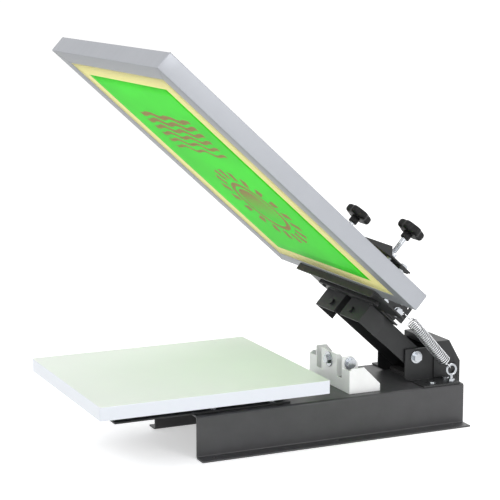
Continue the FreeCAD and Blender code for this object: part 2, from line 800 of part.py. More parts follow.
def eye_bolt(label, across):
    """Eye bolt that holds the lower end of a lift spring."""
    loop = doc.addObject("Part::Torus", "Loop")
    loop.Placement = FreeCAD.Placement(FreeCAD.Vector(), TURNS["+x"])
    bind(loop, Radius1="eye_ring_rad", Radius2="eye_wire_rad")
    bind(loop, Placement__Base__x=across, Placement__Base__y="eye_y", Placement__Base__z="eye_z")
    tall = "eye_z - eye_ring_rad - eye_stud_end"
    stud = rod((across, "eye_y", "eye_stud_end"), "+z", "0", "eye_stud_rad", tall)
    keep(joined([loop, stud]), label)


def eye_bolt_nuts():
    """Nuts above the foot and under the base on each eye bolt."""
    nuts = []
    for across, deep in pairs("eye_x", "eye_y"):
        nuts.append(nut((across, deep, "base_height + gauge"), "+z", "0", "small"))
        nuts.append(nut((across, deep, "base_height - gauge"), "-z", "0", "small"))
    grouped("eye_bolt_nuts", nuts)


def arm_stop_bumper():
    """Rubber pad that the arm's heel rests on when the head is up."""
    body = new_body("arm_stop_bumper")
    corners = box("0 - stop_half", "stop_half", "stop_front", "stop_rear")
    add(body, "XY", "base_height", "stop_thick", corners)
    round_off(body, "stop_round", lambda edge: along(edge, (0, 0, 1)))


base_channel()
platen_board()
platen_bracket()
platen_fasteners()
base_nuts()
registration_gate()
gate_fasteners()
pivot_bracket("pivot_bracket_right", "ear_inner", "0 +")
pivot_bracket("pivot_bracket_left", "0 - ear_inner - gauge", "0 -")
tower_hood()
tower_fasteners()
eye_bolt("eye_bolt_right", "eye_x")
eye_bolt("eye_bolt_left", "0 - eye_x")
eye_bolt_nuts()
arm_stop_bumper()


LOBES = 6


def lift_arm():
    """Upturned channel that carries the head and swings in the tower."""
    body = new_body("lift_arm", head=True)
    side = [
        ("arm_front", "arm_low"), ("arm_rear", "arm_low"), ("arm_rear", "arm_rear_cut_z"),
        ("arm_rear_cut_y", "arm_top"), ("arm_front", "arm_top"),
    ]
    add(body, "YZ", "0 - arm_half", "2 * arm_half", side)
    wall = "arm_half - gauge"
    hollow = box("arm_front - overrun", "arm_rear + overrun", "arm_low - overrun", "arm_top - gauge")
    cut(body, "YZ", "0 - (%s)" % wall, "2 * (%s)" % wall, hollow)
    mouth = box("arm_front - overrun", "arm_web_front", "arm_low - overrun", "arm_top + overrun")
    cut(body, "YZ", "0 - (%s)" % wall, "2 * (%s)" % wall, mouth)
    clear = "small_rad + bolt_clearance"
    right = box("arm_flange_in", "arm_half", "arm_low", "arm_top - gauge")
    left = box("0 - arm_half", "0 - arm_flange_in", "arm_low", "arm_top - gauge")
    add(body, "XZ", "0 - arm_front - gauge", "gauge", right, [("skirt_bolt_x", "skirt_bolt_z", clear)])
    add(body, "XZ", "0 - arm_front - gauge", "gauge", left, [("0 - skirt_bolt_x", "skirt_bolt_z", clear)])
    seat = [("pivot_along", "pivot_below", "sleeve_rad + nut_clearance")]
    cut(body, "YZ", "0 - arm_half - overrun", "2 * arm_half + 2 * overrun", circles=seat)
    deck = [(across, deep, clear) for across, deep in deck_bolt_spots()]
    cut(body, "XY", "arm_top - gauge - overrun", "gauge + 2 * overrun", circles=deck)


def deck_bolt_spots():
    """Give the bolt places where the head bracket, bed and arm web meet."""
    return pairs("arm_flange_in", "cheek_bolt_y") + pairs("arm_flange_in", "deck_bolt_front")


def arm_pivot_sleeve():
    """Sleeve in the arm that turns on the pivot bolt."""
    spot = ("0 - arm_half", "pivot_along", "pivot_below")
    inner = "large_rad + running_clearance"
    grouped("arm_pivot_sleeve", [ring(spot, "+x", "0", "sleeve_rad", inner, "2 * arm_half")], head=True)


def skirt(label, sign):
    """Bent guide plate at the front of the arm that passes outside the gate."""
    body = new_body(label, head=True)
    inner = "%s skirt_in" % sign
    outer = "%s skirt_out" % sign
    edges = (inner, outer) if sign == "0 +" else (outer, inner)
    hole = [("%s skirt_bolt_x" % sign, "skirt_bolt_z", "small_rad + bolt_clearance")]
    front = box(edges[0], edges[1], "skirt_low", "skirt_top")
    add(body, "XZ", "0 - skirt_front - gauge", "gauge", front, hole)
    wing = [
        ("skirt_front", "skirt_low"), ("skirt_rear", "skirt_low"), ("skirt_rear", "skirt_top - skirt_slope"),
        ("skirt_rear - skirt_slope", "skirt_top"), ("skirt_front", "skirt_top"),
    ]
    near = "skirt_out - gauge" if sign == "0 +" else "0 - skirt_out"
    add(body, "YZ", near, "gauge", wing)


def cross_bar():
    """Flat bar under the clamp bed's rear edge, with round ends."""
    body = new_body("cross_bar", head=True)
    corners = box("0 - bar_half", "bar_half", "bar_front", "bar_rear")
    holes = [(across, deep, "tiny_rad + bolt_clearance") for across, deep in bar_screw_spots()]
    add(body, "XY", "bar_low", "arm_top - bar_low", corners, holes)
    round_off(body, "bar_round", lambda edge: along(edge, (0, 0, 1)))


def bar_screw_spots():
    """Give the screw places in the cross bar."""
    return pairs("bar_screw_x", "(bar_front + bar_rear) / 2")


def clamp_bed():
    """Bent plate that the screen's rear rail is clamped down on."""
    body = new_body("clamp_bed", head=True)
    outline = [
        ("0 - bed_half", "bed_front"), ("bed_half", "bed_front"), ("bed_half", "bed_step"),
        ("bed_tail_half", "bed_step"), ("bed_tail_half", "bed_rear"), ("0 - bed_tail_half", "bed_rear"),
        ("0 - bed_tail_half", "bed_step"), ("0 - bed_half", "bed_step"),
    ]
    holes = [(across, deep, "small_rad + bolt_clearance") for across, deep in deck_bolt_spots()]
    holes += [(across, deep, "tiny_rad + nut_clearance") for across, deep in bar_screw_spots()]
    add(body, "XY", "arm_top", "0 - arm_top", outline, holes)
    lip = box("0 - bed_half", "bed_half", "bed_lip_low", "0")
    add(body, "XZ", "0 - bed_front - gauge", "gauge", lip)
    tail = size("bed_half")
    short = size("gauge") + SAME_SPOT
    round_off(body, "bed_round", lambda edge: along(edge, (0, 0, 1)) and edge.Length < short
              and abs(abs(edge.CenterOfMass.x) - tail) < SAME_SPOT)


def head_bracket():
    """Channel on top of the arm that the two cheeks bolt to."""
    body = new_body("head_bracket", head=True)
    floor = box("0 - bracket_out", "bracket_out", "bracket_y_front", "bracket_y_rear")
    holes = [(across, deep, "small_rad + bolt_clearance") for across, deep in deck_bolt_spots()]
    add(body, "XY", "0", "gauge", floor, holes)
    side = [
        ("bracket_y_front", "0"), ("bracket_y_rear", "0"), ("bracket_y_rear", "bracket_top"),
        ("bracket_y_front", "bracket_top"),
    ]
    add(body, "YZ", "bracket_out - gauge", "gauge", side, cheek_hole_spots())
    add(body, "YZ", "0 - bracket_out", "gauge", side, cheek_hole_spots())


def cheek_hole_spots():
    """Give the bolt holes that the cheeks and the head bracket share."""
    return [
        ("cheek_bolt_y", "cheek_bolt_z", "large_rad + bolt_clearance"),
        ("cheek_screw_y", "cheek_screw_z", "small_rad + bolt_clearance"),
    ]


def cheek(label, sign):
    """Side plate that holds the clamp bridge and hooks a lift spring."""
    body = new_body(label, head=True)
    outline = [
        ("cheek_front", "cheek_low"), ("cheek_rear", "cheek_low"), ("cheek_rear", "cheek_rear_top"),
        ("cheek_slope_y", "cheek_top"), ("cheek_front", "cheek_top"),
    ]
    holes = cheek_hole_spots() + [
        ("hook_y", "hook_z", "hook_hole_rad"), ("spare_one_y", "spare_one_z", "spare_rad"),
        ("spare_two_y", "spare_two_z", "spare_rad"),
    ]
    near = "bracket_out" if sign == "0 +" else "0 - cheek_out"
    add(body, "YZ", near, "cheek_out - bracket_out", outline, holes)
    inner = "%s bracket_out" % sign
    outer = "%s cheek_tab_out" % sign
    edges = (inner, outer) if sign == "0 +" else (outer, inner)
    tab = box(edges[0], edges[1], "cheek_tab_front", "cheek_tab_rear")
    hole = [("%s bridge_bolt_x" % sign, "bridge_bolt_y", "small_rad + bolt_clearance")]
    add(body, "XY", "cheek_top - gauge", "gauge", tab, hole)


def head_fasteners():
    """Bolts, washers and nuts that hold the head together."""
    bolts = []
    nuts = []
    for across, deep in pairs("skirt_bolt_x", "skirt_front"):
        bolts.append(bolt((across, deep, "skirt_bolt_z"), "-y", "small", "skirt_shank"))
        nuts.append(nut((across, "arm_front + gauge", "skirt_bolt_z"), "+y", "0", "small"))
    grouped("skirt_bolts", bolts, head=True)
    grouped("skirt_nuts", nuts, head=True)
    screws = []
    for across, deep in bar_screw_spots():
        screws.append(bolt((across, deep, "bar_low"), "-z", "tiny", "hood_screw_long"))
    grouped("cross_bar_screws", screws, head=True)
    bolts = []
    nuts = []
    for across, deep in deck_bolt_spots():
        bolts.append(bolt((across, deep, "gauge"), "+z", "small", "deck_shank"))
        nuts.append(nut((across, deep, "arm_top - gauge"), "-z", "0", "small"))
    grouped("deck_bolts", bolts, head=True)
    grouped("deck_nuts", nuts, head=True)
    large = []
    small = []
    washers = []
    inner_nuts = []
    for axis in ("+x", "-x"):
        spot = ("0", "cheek_bolt_y", "cheek_bolt_z")
        face = "cheek_out + washer_thick"
        head = hexagon(spot, axis, face, "large_flats", "large_head")
        stem = rod(spot, axis, face + " - cheek_shank", "large_rad", "cheek_shank")
        large.append(joined([head, stem]))
        inner = "large_rad + bolt_clearance"
        washers.append(ring(spot, axis, "cheek_out", "cheek_washer_rad", inner, "washer_thick"))
        inner_nuts.append(nut(spot, axis, "bracket_out - gauge - large_nut", "large"))
        spot = ("0", "cheek_screw_y", "cheek_screw_z")
        head = hexagon(spot, axis, "cheek_out", "small_flats", "small_head")
        stem = rod(spot, axis, "cheek_out - cheek_screw_shank", "small_rad", "cheek_screw_shank")
        small.append(joined([head, stem]))
        inner_nuts.append(nut(spot, axis, "bracket_out - gauge - small_nut", "small"))
    grouped("cheek_bolts", large, head=True)
    grouped("cheek_washers", washers, head=True)
    grouped("cheek_screws", small, head=True)
    grouped("cheek_nuts", inner_nuts, head=True)
    bolts = []
    nuts = []
    for across, deep in pairs("bridge_bolt_x", "bridge_bolt_y"):
        bolts.append(bolt((across, deep, "cheek_top + gauge"), "+z", "small", "bridge_shank"))
        nuts.append(nut((across, deep, "cheek_top - gauge"), "-z", "0", "small"))
    grouped("bridge_bolts", bolts, head=True)
    grouped("bridge_nuts", nuts, head=True)


def clamp_bridge():
    """Bent bridge over the rear rail that the clamp screws run through."""
    body = new_body("clamp_bridge", head=True)
    top = "cheek_top + gauge"
    outline = [
        ("bridge_rear", "cheek_top"), ("bridge_rear", top), ("bridge_bend_y", top),
        ("bridge_peak_y", "bridge_peak_z"), ("bridge_tip_y", "bridge_tip_z"),
        ("bridge_tip_y", "bridge_tip_low"), ("bridge_peak_y", "bridge_peak_in"),
        ("bridge_bend_y - gauge", "cheek_top"),
    ]
    add(body, "YZ", "0 - bridge_half", "2 * bridge_half", outline)
    gusset = [
        ("bridge_tip_y", "bridge_tip_low"), ("bridge_bend_y", "cheek_top"), ("bridge_bend_y", top),
        ("bridge_peak_y", "bridge_peak_z"), ("bridge_tip_y", "bridge_tip_z"),
    ]
    add(body, "YZ", "bridge_half - gauge", "gauge", gusset)
    add(body, "YZ", "0 - bridge_half", "gauge", gusset)
    holes = [(across, deep, "small_rad + bolt_clearance")
             for across, deep in pairs("bridge_bolt_x", "bridge_bolt_y")]
    holes += [(across, deep, "spindle_rad + bolt_clearance")
              for across, deep in pairs("spindle_x", "spindle_y")]
    cut(body, "XY", "cheek_top - overrun", "gauge + 2 * overrun", circles=holes)


def clamp_nuts():
    """Nuts fixed on the bridge that the clamp spindles screw through."""
    nuts = []
    for across, deep in pairs("spindle_x", "spindle_y"):
        item = doc.addObject("Part::Cut", "Nut")
        spot = (across, deep, "cheek_top + gauge")
        item.Base = hexagon(spot, "+z", "0", "large_flats", "large_nut")
        item.Tool = rod(spot, "+z", "0", "spindle_rad + running_clearance", "large_nut")
        nuts.append(item)
    grouped("clamp_nuts", nuts, head=True)


def clamp(side, sign):
    """Knob, spindle and pad that press the screen down on one side."""
    across = "(%s spindle_x)" % sign
    spot = (across, "spindle_y", "screen_thick")
    disc = rod(spot, "+z", "0", "pad_rad", "pad_thick - pad_collar")
    collar = rod(spot, "+z", "pad_thick - pad_collar", "pad_collar_rad", "pad_collar")
    grouped("clamp_pad_" + side, [joined([disc, collar])], head=True)
    stem = rod(spot, "+z", "pad_thick", "spindle_rad", "knob_low - screen_thick - pad_thick")
    hub = rod((across, "spindle_y", "hub_low"), "+z", "0", "hub_rad", "knob_low - hub_low")
    grouped("clamp_spindle_" + side, [joined([stem, hub])], head=True)
    knob_spot = (across, "spindle_y", "knob_low")
    pieces = [rod(knob_spot, "+z", "0", "knob_rad", "knob_thick")]
    for index in range(LOBES):
        turn = "%d * 360 deg / %d" % (index, LOBES)
        lobe_x = "%s + lobe_ring * cos(%s)" % (across, turn)
        lobe_y = "spindle_y + lobe_ring * sin(%s)" % turn
        pieces.append(rod((lobe_x, lobe_y, "knob_low"), "+z", "0", "lobe_rad", "knob_thick"))
    grouped("clamp_knob_" + side, [joined(pieces)], head=True)


def screen_frame():
    """Welded tube frame of the screen, hollow along its rails."""
    outer = doc.addObject("PartDesign::Body", "ScreenRails")
    rails = [
        box("0 - screen_half", "screen_half", "0 - screen_long", "0"),
        box("rail_side - screen_half", "screen_half - rail_side",
            "rail_front - screen_long", "0 - rail_rear"),
    ]
    add(outer, "XY", "0", "screen_thick", rails)
    round_off(outer, "screen_corner", lambda edge: along(edge, (0, 0, 1))
              and abs(abs(edge.CenterOfMass.x) - size("screen_half")) < SAME_SPOT)
    inner = doc.addObject("PartDesign::Body", "ScreenRailHollow")
    hollow = [
        box("rail_wall - screen_half", "screen_half - rail_wall",
            "rail_wall - screen_long", "0 - rail_wall"),
        box("rail_side - screen_half - rail_wall", "screen_half - rail_side + rail_wall",
            "rail_front - screen_long - rail_wall", "rail_wall - rail_rear"),
    ]
    add(inner, "XY", "rail_wall", "screen_thick - 2 * rail_wall", hollow)
    item = doc.addObject("Part::Cut", "screen_frame")
    item.Base = outer
    item.Tool = inner
    keep(item, "screen_frame", head=True)


def screen_mesh():
    """Stretched mesh across the frame's opening."""
    body = new_body("screen_mesh", head=True)
    corners = box("rail_side - screen_half", "screen_half - rail_side",
                  "rail_front - screen_long", "0 - rail_rear")
    add(body, "XY", "mesh_low", "mesh_thick", corners)


def screen_emulsion():
    """Coated area on the printing side of the mesh."""
    body = new_body("screen_emulsion", head=True)
    corners = box("stencil_side - screen_half", "screen_half - stencil_side",
                  "stencil_front - screen_long", "0 - stencil_rear")
    add(body, "XY", "mesh_low - stencil_thick", "stencil_thick", corners)


def head_point(across, back, up):
    """Give the place in the raised pose of a point drawn on the level head."""
    turn = FreeCAD.Rotation(FreeCAD.Vector(-1, 0, 0), size("head_tilt"))
    spot = turn.multVec(FreeCAD.Vector(across, back, up))
    return spot + FreeCAD.Vector(0, size("head_y"), size("head_z"))


def arc_or_line(start, heading, end):
    """Join two points with the arc that leaves the first along a heading."""
    chord = end - start
    unit = FreeCAD.Vector(chord).normalize()
    bulge = heading - unit * heading.dot(unit)
    if bulge.Length < 0.0005:
        return Part.LineSegment(start, end).toShape()
    angle = math.atan2(bulge.Length, heading.dot(unit))
    middle = (start + end) * 0.5 + bulge.normalize() * (chord.Length / 2 * math.tan(angle / 2))
    return Part.Arc(start, middle, end).toShape()


def biarc(start, heading, end, final):
    """Join two points and headings smoothly with two arcs."""
    chord = end - start
    total = heading + final
    square = 2 * (heading.dot(final) - 1)
    linear = -2 * chord.dot(total)
    level = chord.dot(chord)
    if abs(square) < 1e-9:
        reach = -level / linear
    else:
        root = math.sqrt(linear * linear - 4 * square * level)
        reach = max((-linear + root) / (2 * square), (-linear - root) / (2 * square))
    if abs(square) < 1e-9 and chord.cross(heading).Length < 0.0005:
        return [Part.LineSegment(start, end).toShape()]
    middle = (start + heading * reach + end - final * reach) * 0.5
    first = arc_or_line(start, heading, middle)
    back = arc_or_line(end, final * -1, middle)
    return [first, Part.Arc(middle, back.valueAt((back.FirstParameter + back.LastParameter) / 2),
                            end).toShape() if back.Curve.TypeId == "Part::GeomCircle"
            else Part.LineSegment(middle, end).toShape()]


def spring_stations(side):
    """List the points and headings of a lift spring's wire, from the cheek to the eye."""
    out = FreeCAD.Vector(side, 0, 0)
    hole = head_point(0, size("hook_y"), size("hook_z"))
    inside = hole + out * (size("bracket_out") - size("hook_inside") + size("gauge"))
    corner = hole + out * (size("cheek_out") + size("hook_outside"))
    eye = FreeCAD.Vector(side * size("eye_x"), size("eye_y"), size("eye_z"))
    rough = corner - eye
    rough.x = 0
    up = rough.normalize()
    loop = size("eye_wire_rad") + size("coil_wire_rad") + size("hook_gap")
    catch = eye + up * size("eye_ring_rad")
    arrive = catch + out * loop
    run = arrive - corner
    length = run.Length
    axis = FreeCAD.Vector(run).normalize()
    first = (out - axis * out.dot(axis)).normalize()
    second = axis.cross(first)
    pitch = size("coil_body") / size("coil_curls")
    stations = [(inside, out), (corner - out * size("hook_bend"), out)]
    stations.append((corner + axis * size("hook_bend"), axis))

    def turn_point(angle, radius, level):
        radial = first * math.cos(angle) + second * math.sin(angle)
        return corner + axis * level + radial * radius

    def run_in(share):
        angle = math.pi * (share - 1)
        grow = share * share * (3 - 2 * share)
        rate = pitch / 2 / size("coil_run_in")
        level = share + (rate - 1) * share * share * (share - 1)
        return angle, size("coil_rad") * grow, size("coil_run_in") * level

    def heading_at(place, share):
        step = 0.0005
        ahead = place(min(share + step, 1))
        behind = place(max(share - step, 0))
        return (ahead - behind).normalize()

    start = size("coil_start") - size("coil_run_in")
    steps = 6

    def enter(share):
        angle, radius, level = run_in(share)
        return turn_point(angle, radius, start + level)

    close = size("coil_start") + size("coil_body")

    def leave(share):
        angle, radius, level = run_in(1 - share)
        return turn_point(-angle, radius, close + size("coil_run_in") - level)

    stations.append((enter(0), axis))
    for index in range(1, steps):
        stations.append((enter(index / steps), heading_at(enter, index / steps)))
    for index in range(size("coil_curls") * 4 + 1):
        angle = index * math.pi / 2
        spot = turn_point(angle, size("coil_rad"), size("coil_start") + pitch * index / 4)
        around = second * math.cos(angle) - first * math.sin(angle)
        heading = around * size("coil_rad") + axis * (pitch / 2 / math.pi)
        stations.append((spot, heading.normalize()))
    for index in range(1, steps):
        stations.append((leave(index / steps), heading_at(leave, index / steps)))
    stations.append((leave(1), axis))
    stations.append((arrive, axis))
    stations.append((catch - up * loop, out * -1))
    stations.append((catch - out * loop, up))
    stations.append((catch - out * loop + up * size("hook_tail"), up))
    return stations, length


def lift_spring(label, side):
    """Close wound wire spring with a hook at each end."""
    stations, length = spring_stations(side)
    edges = []
    for (start, heading), (end, final) in zip(stations, stations[1:]):
        edges += biarc(start, heading, end, final)
    path = Part.Wire(edges)
    circle = Part.Circle(stations[0][0], stations[0][1], size("coil_wire_rad"))
    section = Part.Wire([circle.toShape()])
    tube = path.makePipeShell([section], True, False)
    solid = tube if tube.ShapeType == "Solid" else Part.Solid(tube)
    if solid.Volume < 0:
        solid.reverse()
    item = doc.addObject("Part::Feature", label)
    item.Shape = solid
    item.Placement = FreeCAD.Placement()
    nodes.append(item)
    item.Label = label
    section_area = math.pi * size("coil_wire_rad") ** 2
    print("%s wire %.1f mm, hook to hook %.1f mm, volume share %.4f, least gap %.2f mm" % (
        label, path.Length, length, solid.Volume / (section_area * path.Length), least_gap(path)))


def least_gap(path):
    """Measure the least space between neighbouring stretches of a wire."""
    spots = path.discretize(Distance=1.0)
    near = 8
    least = path.Length
    for index, spot in enumerate(spots):
        for other in spots[index + near:index + 120]:
            least = min(least, spot.distanceToPoint(other))
    return least - 2 * size("coil_wire_rad")


lift_arm()
arm_pivot_sleeve()
skirt("skirt_right", "0 +")
skirt("skirt_left", "0 -")
cross_bar()
clamp_bed()
head_bracket()
cheek("cheek_right", "0 +")
cheek("cheek_left", "0 -")
clamp_bridge()
head_fasteners()
clamp_nuts()
clamp("right", "0 +")
clamp("left", "0 -")
screen_frame()
screen_mesh()
screen_emulsion()
lift_spring("lift_spring_right", 1)
lift_spring("lift_spring_left", -1)

doc.recompute()
faults = 0
for item in doc.Objects:
    if "Invalid" in item.State or "Error" in item.State:
        print("FAULT", item.Label, item.Name, item.State)
        faults += 1
for item in nodes:
    solid = item.Shape
    if solid.isNull() or not solid.isValid():
        print("BAD SHAPE", item.Label)
        faults += 1
    print("%-24s solids %d volume %.0f" % (item.Label, len(solid.Solids), solid.Volume))
if faults:
    raise SystemExit("the document has %d faults" % faults)
for item in nodes:
    item.Shape.exportStep(os.path.join("parts", item.Label + ".step"))
print("nodes", len(nodes))
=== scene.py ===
"""Looks of a tabletop screen printing press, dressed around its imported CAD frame.

Lengths are metres in the row frame: +X to the press's right, +Y towards the lift springs, +Z up.
Head pieces are worked out on the level head, x across, y behind the screen's rear edge and z above
its underside, and are then tipped into the raised rest pose.
"""

import logging
import math
from dataclasses import dataclass
from enum import Enum
from typing import Callable, ClassVar, Optional, Sequence

import bpy
import numpy as np
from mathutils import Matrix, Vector

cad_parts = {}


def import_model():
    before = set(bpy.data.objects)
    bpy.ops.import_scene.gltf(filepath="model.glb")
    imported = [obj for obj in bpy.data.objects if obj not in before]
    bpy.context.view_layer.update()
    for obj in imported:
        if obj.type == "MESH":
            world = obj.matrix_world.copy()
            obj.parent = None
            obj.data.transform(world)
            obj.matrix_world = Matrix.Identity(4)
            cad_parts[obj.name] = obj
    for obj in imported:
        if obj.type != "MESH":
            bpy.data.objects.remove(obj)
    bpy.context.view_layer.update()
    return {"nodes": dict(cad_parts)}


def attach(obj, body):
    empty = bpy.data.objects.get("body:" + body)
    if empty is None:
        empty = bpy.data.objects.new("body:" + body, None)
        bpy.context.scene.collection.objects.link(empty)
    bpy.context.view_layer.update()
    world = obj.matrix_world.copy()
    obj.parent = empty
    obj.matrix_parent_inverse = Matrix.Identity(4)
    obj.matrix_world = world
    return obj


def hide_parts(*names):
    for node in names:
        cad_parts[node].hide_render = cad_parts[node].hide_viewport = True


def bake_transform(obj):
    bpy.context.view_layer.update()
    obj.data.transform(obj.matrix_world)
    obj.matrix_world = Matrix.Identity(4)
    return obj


LOG = logging.getLogger("press")

Colour = tuple[float, float, float]
Place = tuple[float, float, float]

WHITE = (1.0, 1.0, 1.0, 1.0)
THREADS = 1400.0  # mesh threads a metre


class Side(Enum):
    """Which side of the press a paired piece is on."""

    RIGHT = 1
    LEFT = -1

    @property
    def word(self) -> str:
        """The side's word in node names."""
        return self.name.lower()


@dataclass(frozen=True)
class Grain:
    """The noise that a finish's bump is made of: cells a metre, octaves, strength and stretch."""

    scale: float
    detail: float
    strength: float
    stretch: Optional[Place] = None


class Pattern(Enum):
    """The fine structure that a finish's bump follows."""

    POWDER = Grain(2600.0, 2.0, 0.5)
    BRUSHED = Grain(900.0, 3.0, 0.5, (0.06, 1.0, 1.0))
    CAST = Grain(700.0, 6.0, 0.6)
    SMOOTH = None


@dataclass(frozen=True)
class HeadPlace:
    """Where the raised head stands: its shift in metres and its tilt in degrees."""

    shift_y: float = 0.06579
    shift_z: float = 0.25552
    tilt: float = 42.24

    def tip(self, points: np.ndarray) -> np.ndarray:
        """Turn points about +X by minus the tilt, then shift them.

        Args:
            points: Points on the level head, last axis x, y, z.

        Returns:
            The same points in the row frame.
        """
        turn = math.radians(self.tilt)
        x, y, z = points[..., 0], points[..., 1], points[..., 2]
        back = self.shift_y + y * math.cos(turn) + z * math.sin(turn)
        up = self.shift_z - y * math.sin(turn) + z * math.cos(turn)
        return np.stack([x, back, up], axis=-1)


HEAD = HeadPlace()


def shade(colour: Colour, factor: float) -> Colour:
    """Darken or brighten a colour by a factor, each part 1 at most."""
    return tuple(min(1.0, part * factor) for part in colour)


class NodeSheet:
    """A small wrapper that adds nodes to one node tree."""

    def __init__(self, tree: bpy.types.NodeTree) -> None:
        """Take the node tree that is added to."""
        self.tree = tree

    def node(self, kind: str, **values: object) -> bpy.types.Node:
        """Add a node and set its plain properties."""
        item = self.tree.nodes.new(kind)
        for name, value in values.items():
            setattr(item, name, value)
        return item

    def link(self, source: bpy.types.NodeSocket, target: bpy.types.NodeSocket) -> None:
        """Join two sockets."""
        self.tree.links.new(source, target)

    def maths(self, kind: str, first: object, second: object = 0.0, third: object = 0.0
              ) -> bpy.types.NodeSocket:
        """Add a Math node whose inputs are sockets or numbers."""
        item = self.node("ShaderNodeMath", operation=kind)
        for index, value in enumerate((first, second, third)):
            if isinstance(value, bpy.types.NodeSocket):
                self.link(value, item.inputs[index])
            else:
                item.inputs[index].default_value = float(value)
        return item.outputs["Value"]

    def swing(self, value: bpy.types.NodeSocket, turn: float) -> bpy.types.NodeSocket:
        """Give the sine of a value times its turn."""
        return self.maths("SINE", self.maths("MULTIPLY", value, turn))

    def white_rays(self) -> bpy.types.NodeSocket:
        """Give 1 for camera, mirror and glass rays, which see plain white, and 0 for the rest."""
        path = self.node("ShaderNodeLightPath")
        seen = self.maths("MAXIMUM", path.outputs["Is Camera Ray"], path.outputs["Is Glossy Ray"])
        return self.maths("MAXIMUM", seen, path.outputs["Is Transmission Ray"])


class MaterialSheet(NodeSheet):
    """The nodes of one material, round its Principled shader."""

    def __init__(self, name: str) -> None:
        """Start a node material with a Principled shader."""
        self.material = bpy.data.materials.new(name)
        self.material.use_nodes = True
        super().__init__(self.material.node_tree)
        self.shader = self.tree.nodes["Principled BSDF"]
        self.output = self.tree.nodes["Material Output"]
        self.coords = self.node("ShaderNodeTexCoord")

    def fix(self, socket: str, value: object) -> None:
        """Write a plain value on one of the shader's sockets."""
        self.shader.inputs[socket].default_value = value

    def paint(self, colour: bpy.types.NodeSocket) -> None:
        """Send a colour to the shader."""
        self.link(colour, self.shader.inputs["Base Color"])

    def roughen(self, value: bpy.types.NodeSocket, low: float, high: float) -> None:
        """Send a value of 0 to 1 to the shader's roughness, mapped onto low to high."""
        item = self.node("ShaderNodeMapRange")
        item.inputs["To Min"].default_value = low
        item.inputs["To Max"].default_value = high
        self.link(value, item.inputs["Value"])
        self.link(item.outputs["Result"], self.shader.inputs["Roughness"])

    def noise(self, scale: float, detail: float, stretch: Optional[Place] = None
              ) -> bpy.types.NodeSocket:
        """Add a noise pattern on the piece's own coordinates.

        Args:
            scale: How many cells a metre.
            detail: Octaves of the noise.
            stretch: Factors that squeeze the pattern along x, y and z.

        Returns:
            The socket with the noise value, 0 to 1.
        """
        texture = self.node("ShaderNodeTexNoise")
        texture.inputs["Scale"].default_value = scale
        texture.inputs["Detail"].default_value = detail
        mapping = self.node("ShaderNodeMapping")
        if stretch is not None:
            mapping.inputs["Scale"].default_value = stretch
        self.link(self.coords.outputs["Object"], mapping.inputs["Vector"])
        self.link(mapping.outputs["Vector"], texture.inputs["Vector"])
        return texture.outputs["Fac"]

    def ramp(self, value: bpy.types.NodeSocket, stops: Sequence[tuple[float, Colour]]
             ) -> bpy.types.NodeSocket:
        """Turn a value into a colour along stops of place and colour."""
        ramp = self.node("ShaderNodeValToRGB")
        band = ramp.color_ramp
        while len(band.elements) < len(stops):
            band.elements.new(0.5)
        for element, (place, colour) in zip(band.elements, stops):
            element.position = place
            element.color = (*colour, 1.0)
        self.link(value, ramp.inputs["Fac"])
        return ramp.outputs["Color"]

    def mix(self, share: bpy.types.NodeSocket, first: object, second: object
            ) -> bpy.types.NodeSocket:
        """Mix two colours, each a socket or a plain colour."""
        item = self.node("ShaderNodeMix", data_type="RGBA")
        self.link(share, item.inputs[0])
        for index, value in ((6, first), (7, second)):
            if isinstance(value, bpy.types.NodeSocket):
                self.link(value, item.inputs[index])
            else:
                item.inputs[index].default_value = (*value, 1.0)
        return item.outputs[2]

    def bump(self, height: bpy.types.NodeSocket, depth: float, strength: float) -> None:
        """Send a height pattern, depth in metres, to the shader's normal."""
        item = self.node("ShaderNodeBump")
        item.inputs["Distance"].default_value = depth
        item.inputs["Strength"].default_value = strength
        self.link(height, item.inputs["Height"])
        self.link(item.outputs["Normal"], self.shader.inputs["Normal"])

    def facing(self, way: Place, least: float) -> bpy.types.NodeSocket:
        """Give 1 where the surface faces a way, its normal's share of it over the least."""
        normal = self.node("ShaderNodeNewGeometry").outputs["Normal"]
        turn = self.node("ShaderNodeVectorMath", operation="DOT_PRODUCT")
        turn.inputs[1].default_value = way
        self.link(normal, turn.inputs[0])
        return self.maths("GREATER_THAN", turn.outputs["Value"], least)

    def own_place(self) -> tuple[bpy.types.NodeSocket, bpy.types.NodeSocket]:
        """Split the piece's own UV place, in metres, into across and up."""
        split = self.node("ShaderNodeSeparateXYZ")
        self.link(self.coords.outputs["UV"], split.inputs["Vector"])
        return split.outputs["X"], split.outputs["Y"]

    def weave(self) -> bpy.types.NodeSocket:
        """Give a plain weave's height: half the product of a sine each way, plus one half."""
        warp, weft = (self.swing(place, math.pi * THREADS) for place in self.own_place())
        return self.maths("MULTIPLY_ADD", self.maths("MULTIPLY", warp, weft), 0.5, 0.5)

    def see_through(self, colour: bpy.types.NodeSocket, share: float) -> None:
        """Let a share of the light from behind a thin sheet through, in its own colour."""
        self.paint(colour)
        glow = self.node("ShaderNodeBsdfTranslucent")
        self.link(colour, glow.inputs["Color"])
        blend = self.node("ShaderNodeMixShader")
        blend.inputs["Fac"].default_value = share
        self.link(self.shader.outputs["BSDF"], blend.inputs[1])
        self.link(glow.outputs["BSDF"], blend.inputs[2])
        self.link(blend.outputs["Shader"], self.output.inputs["Surface"])


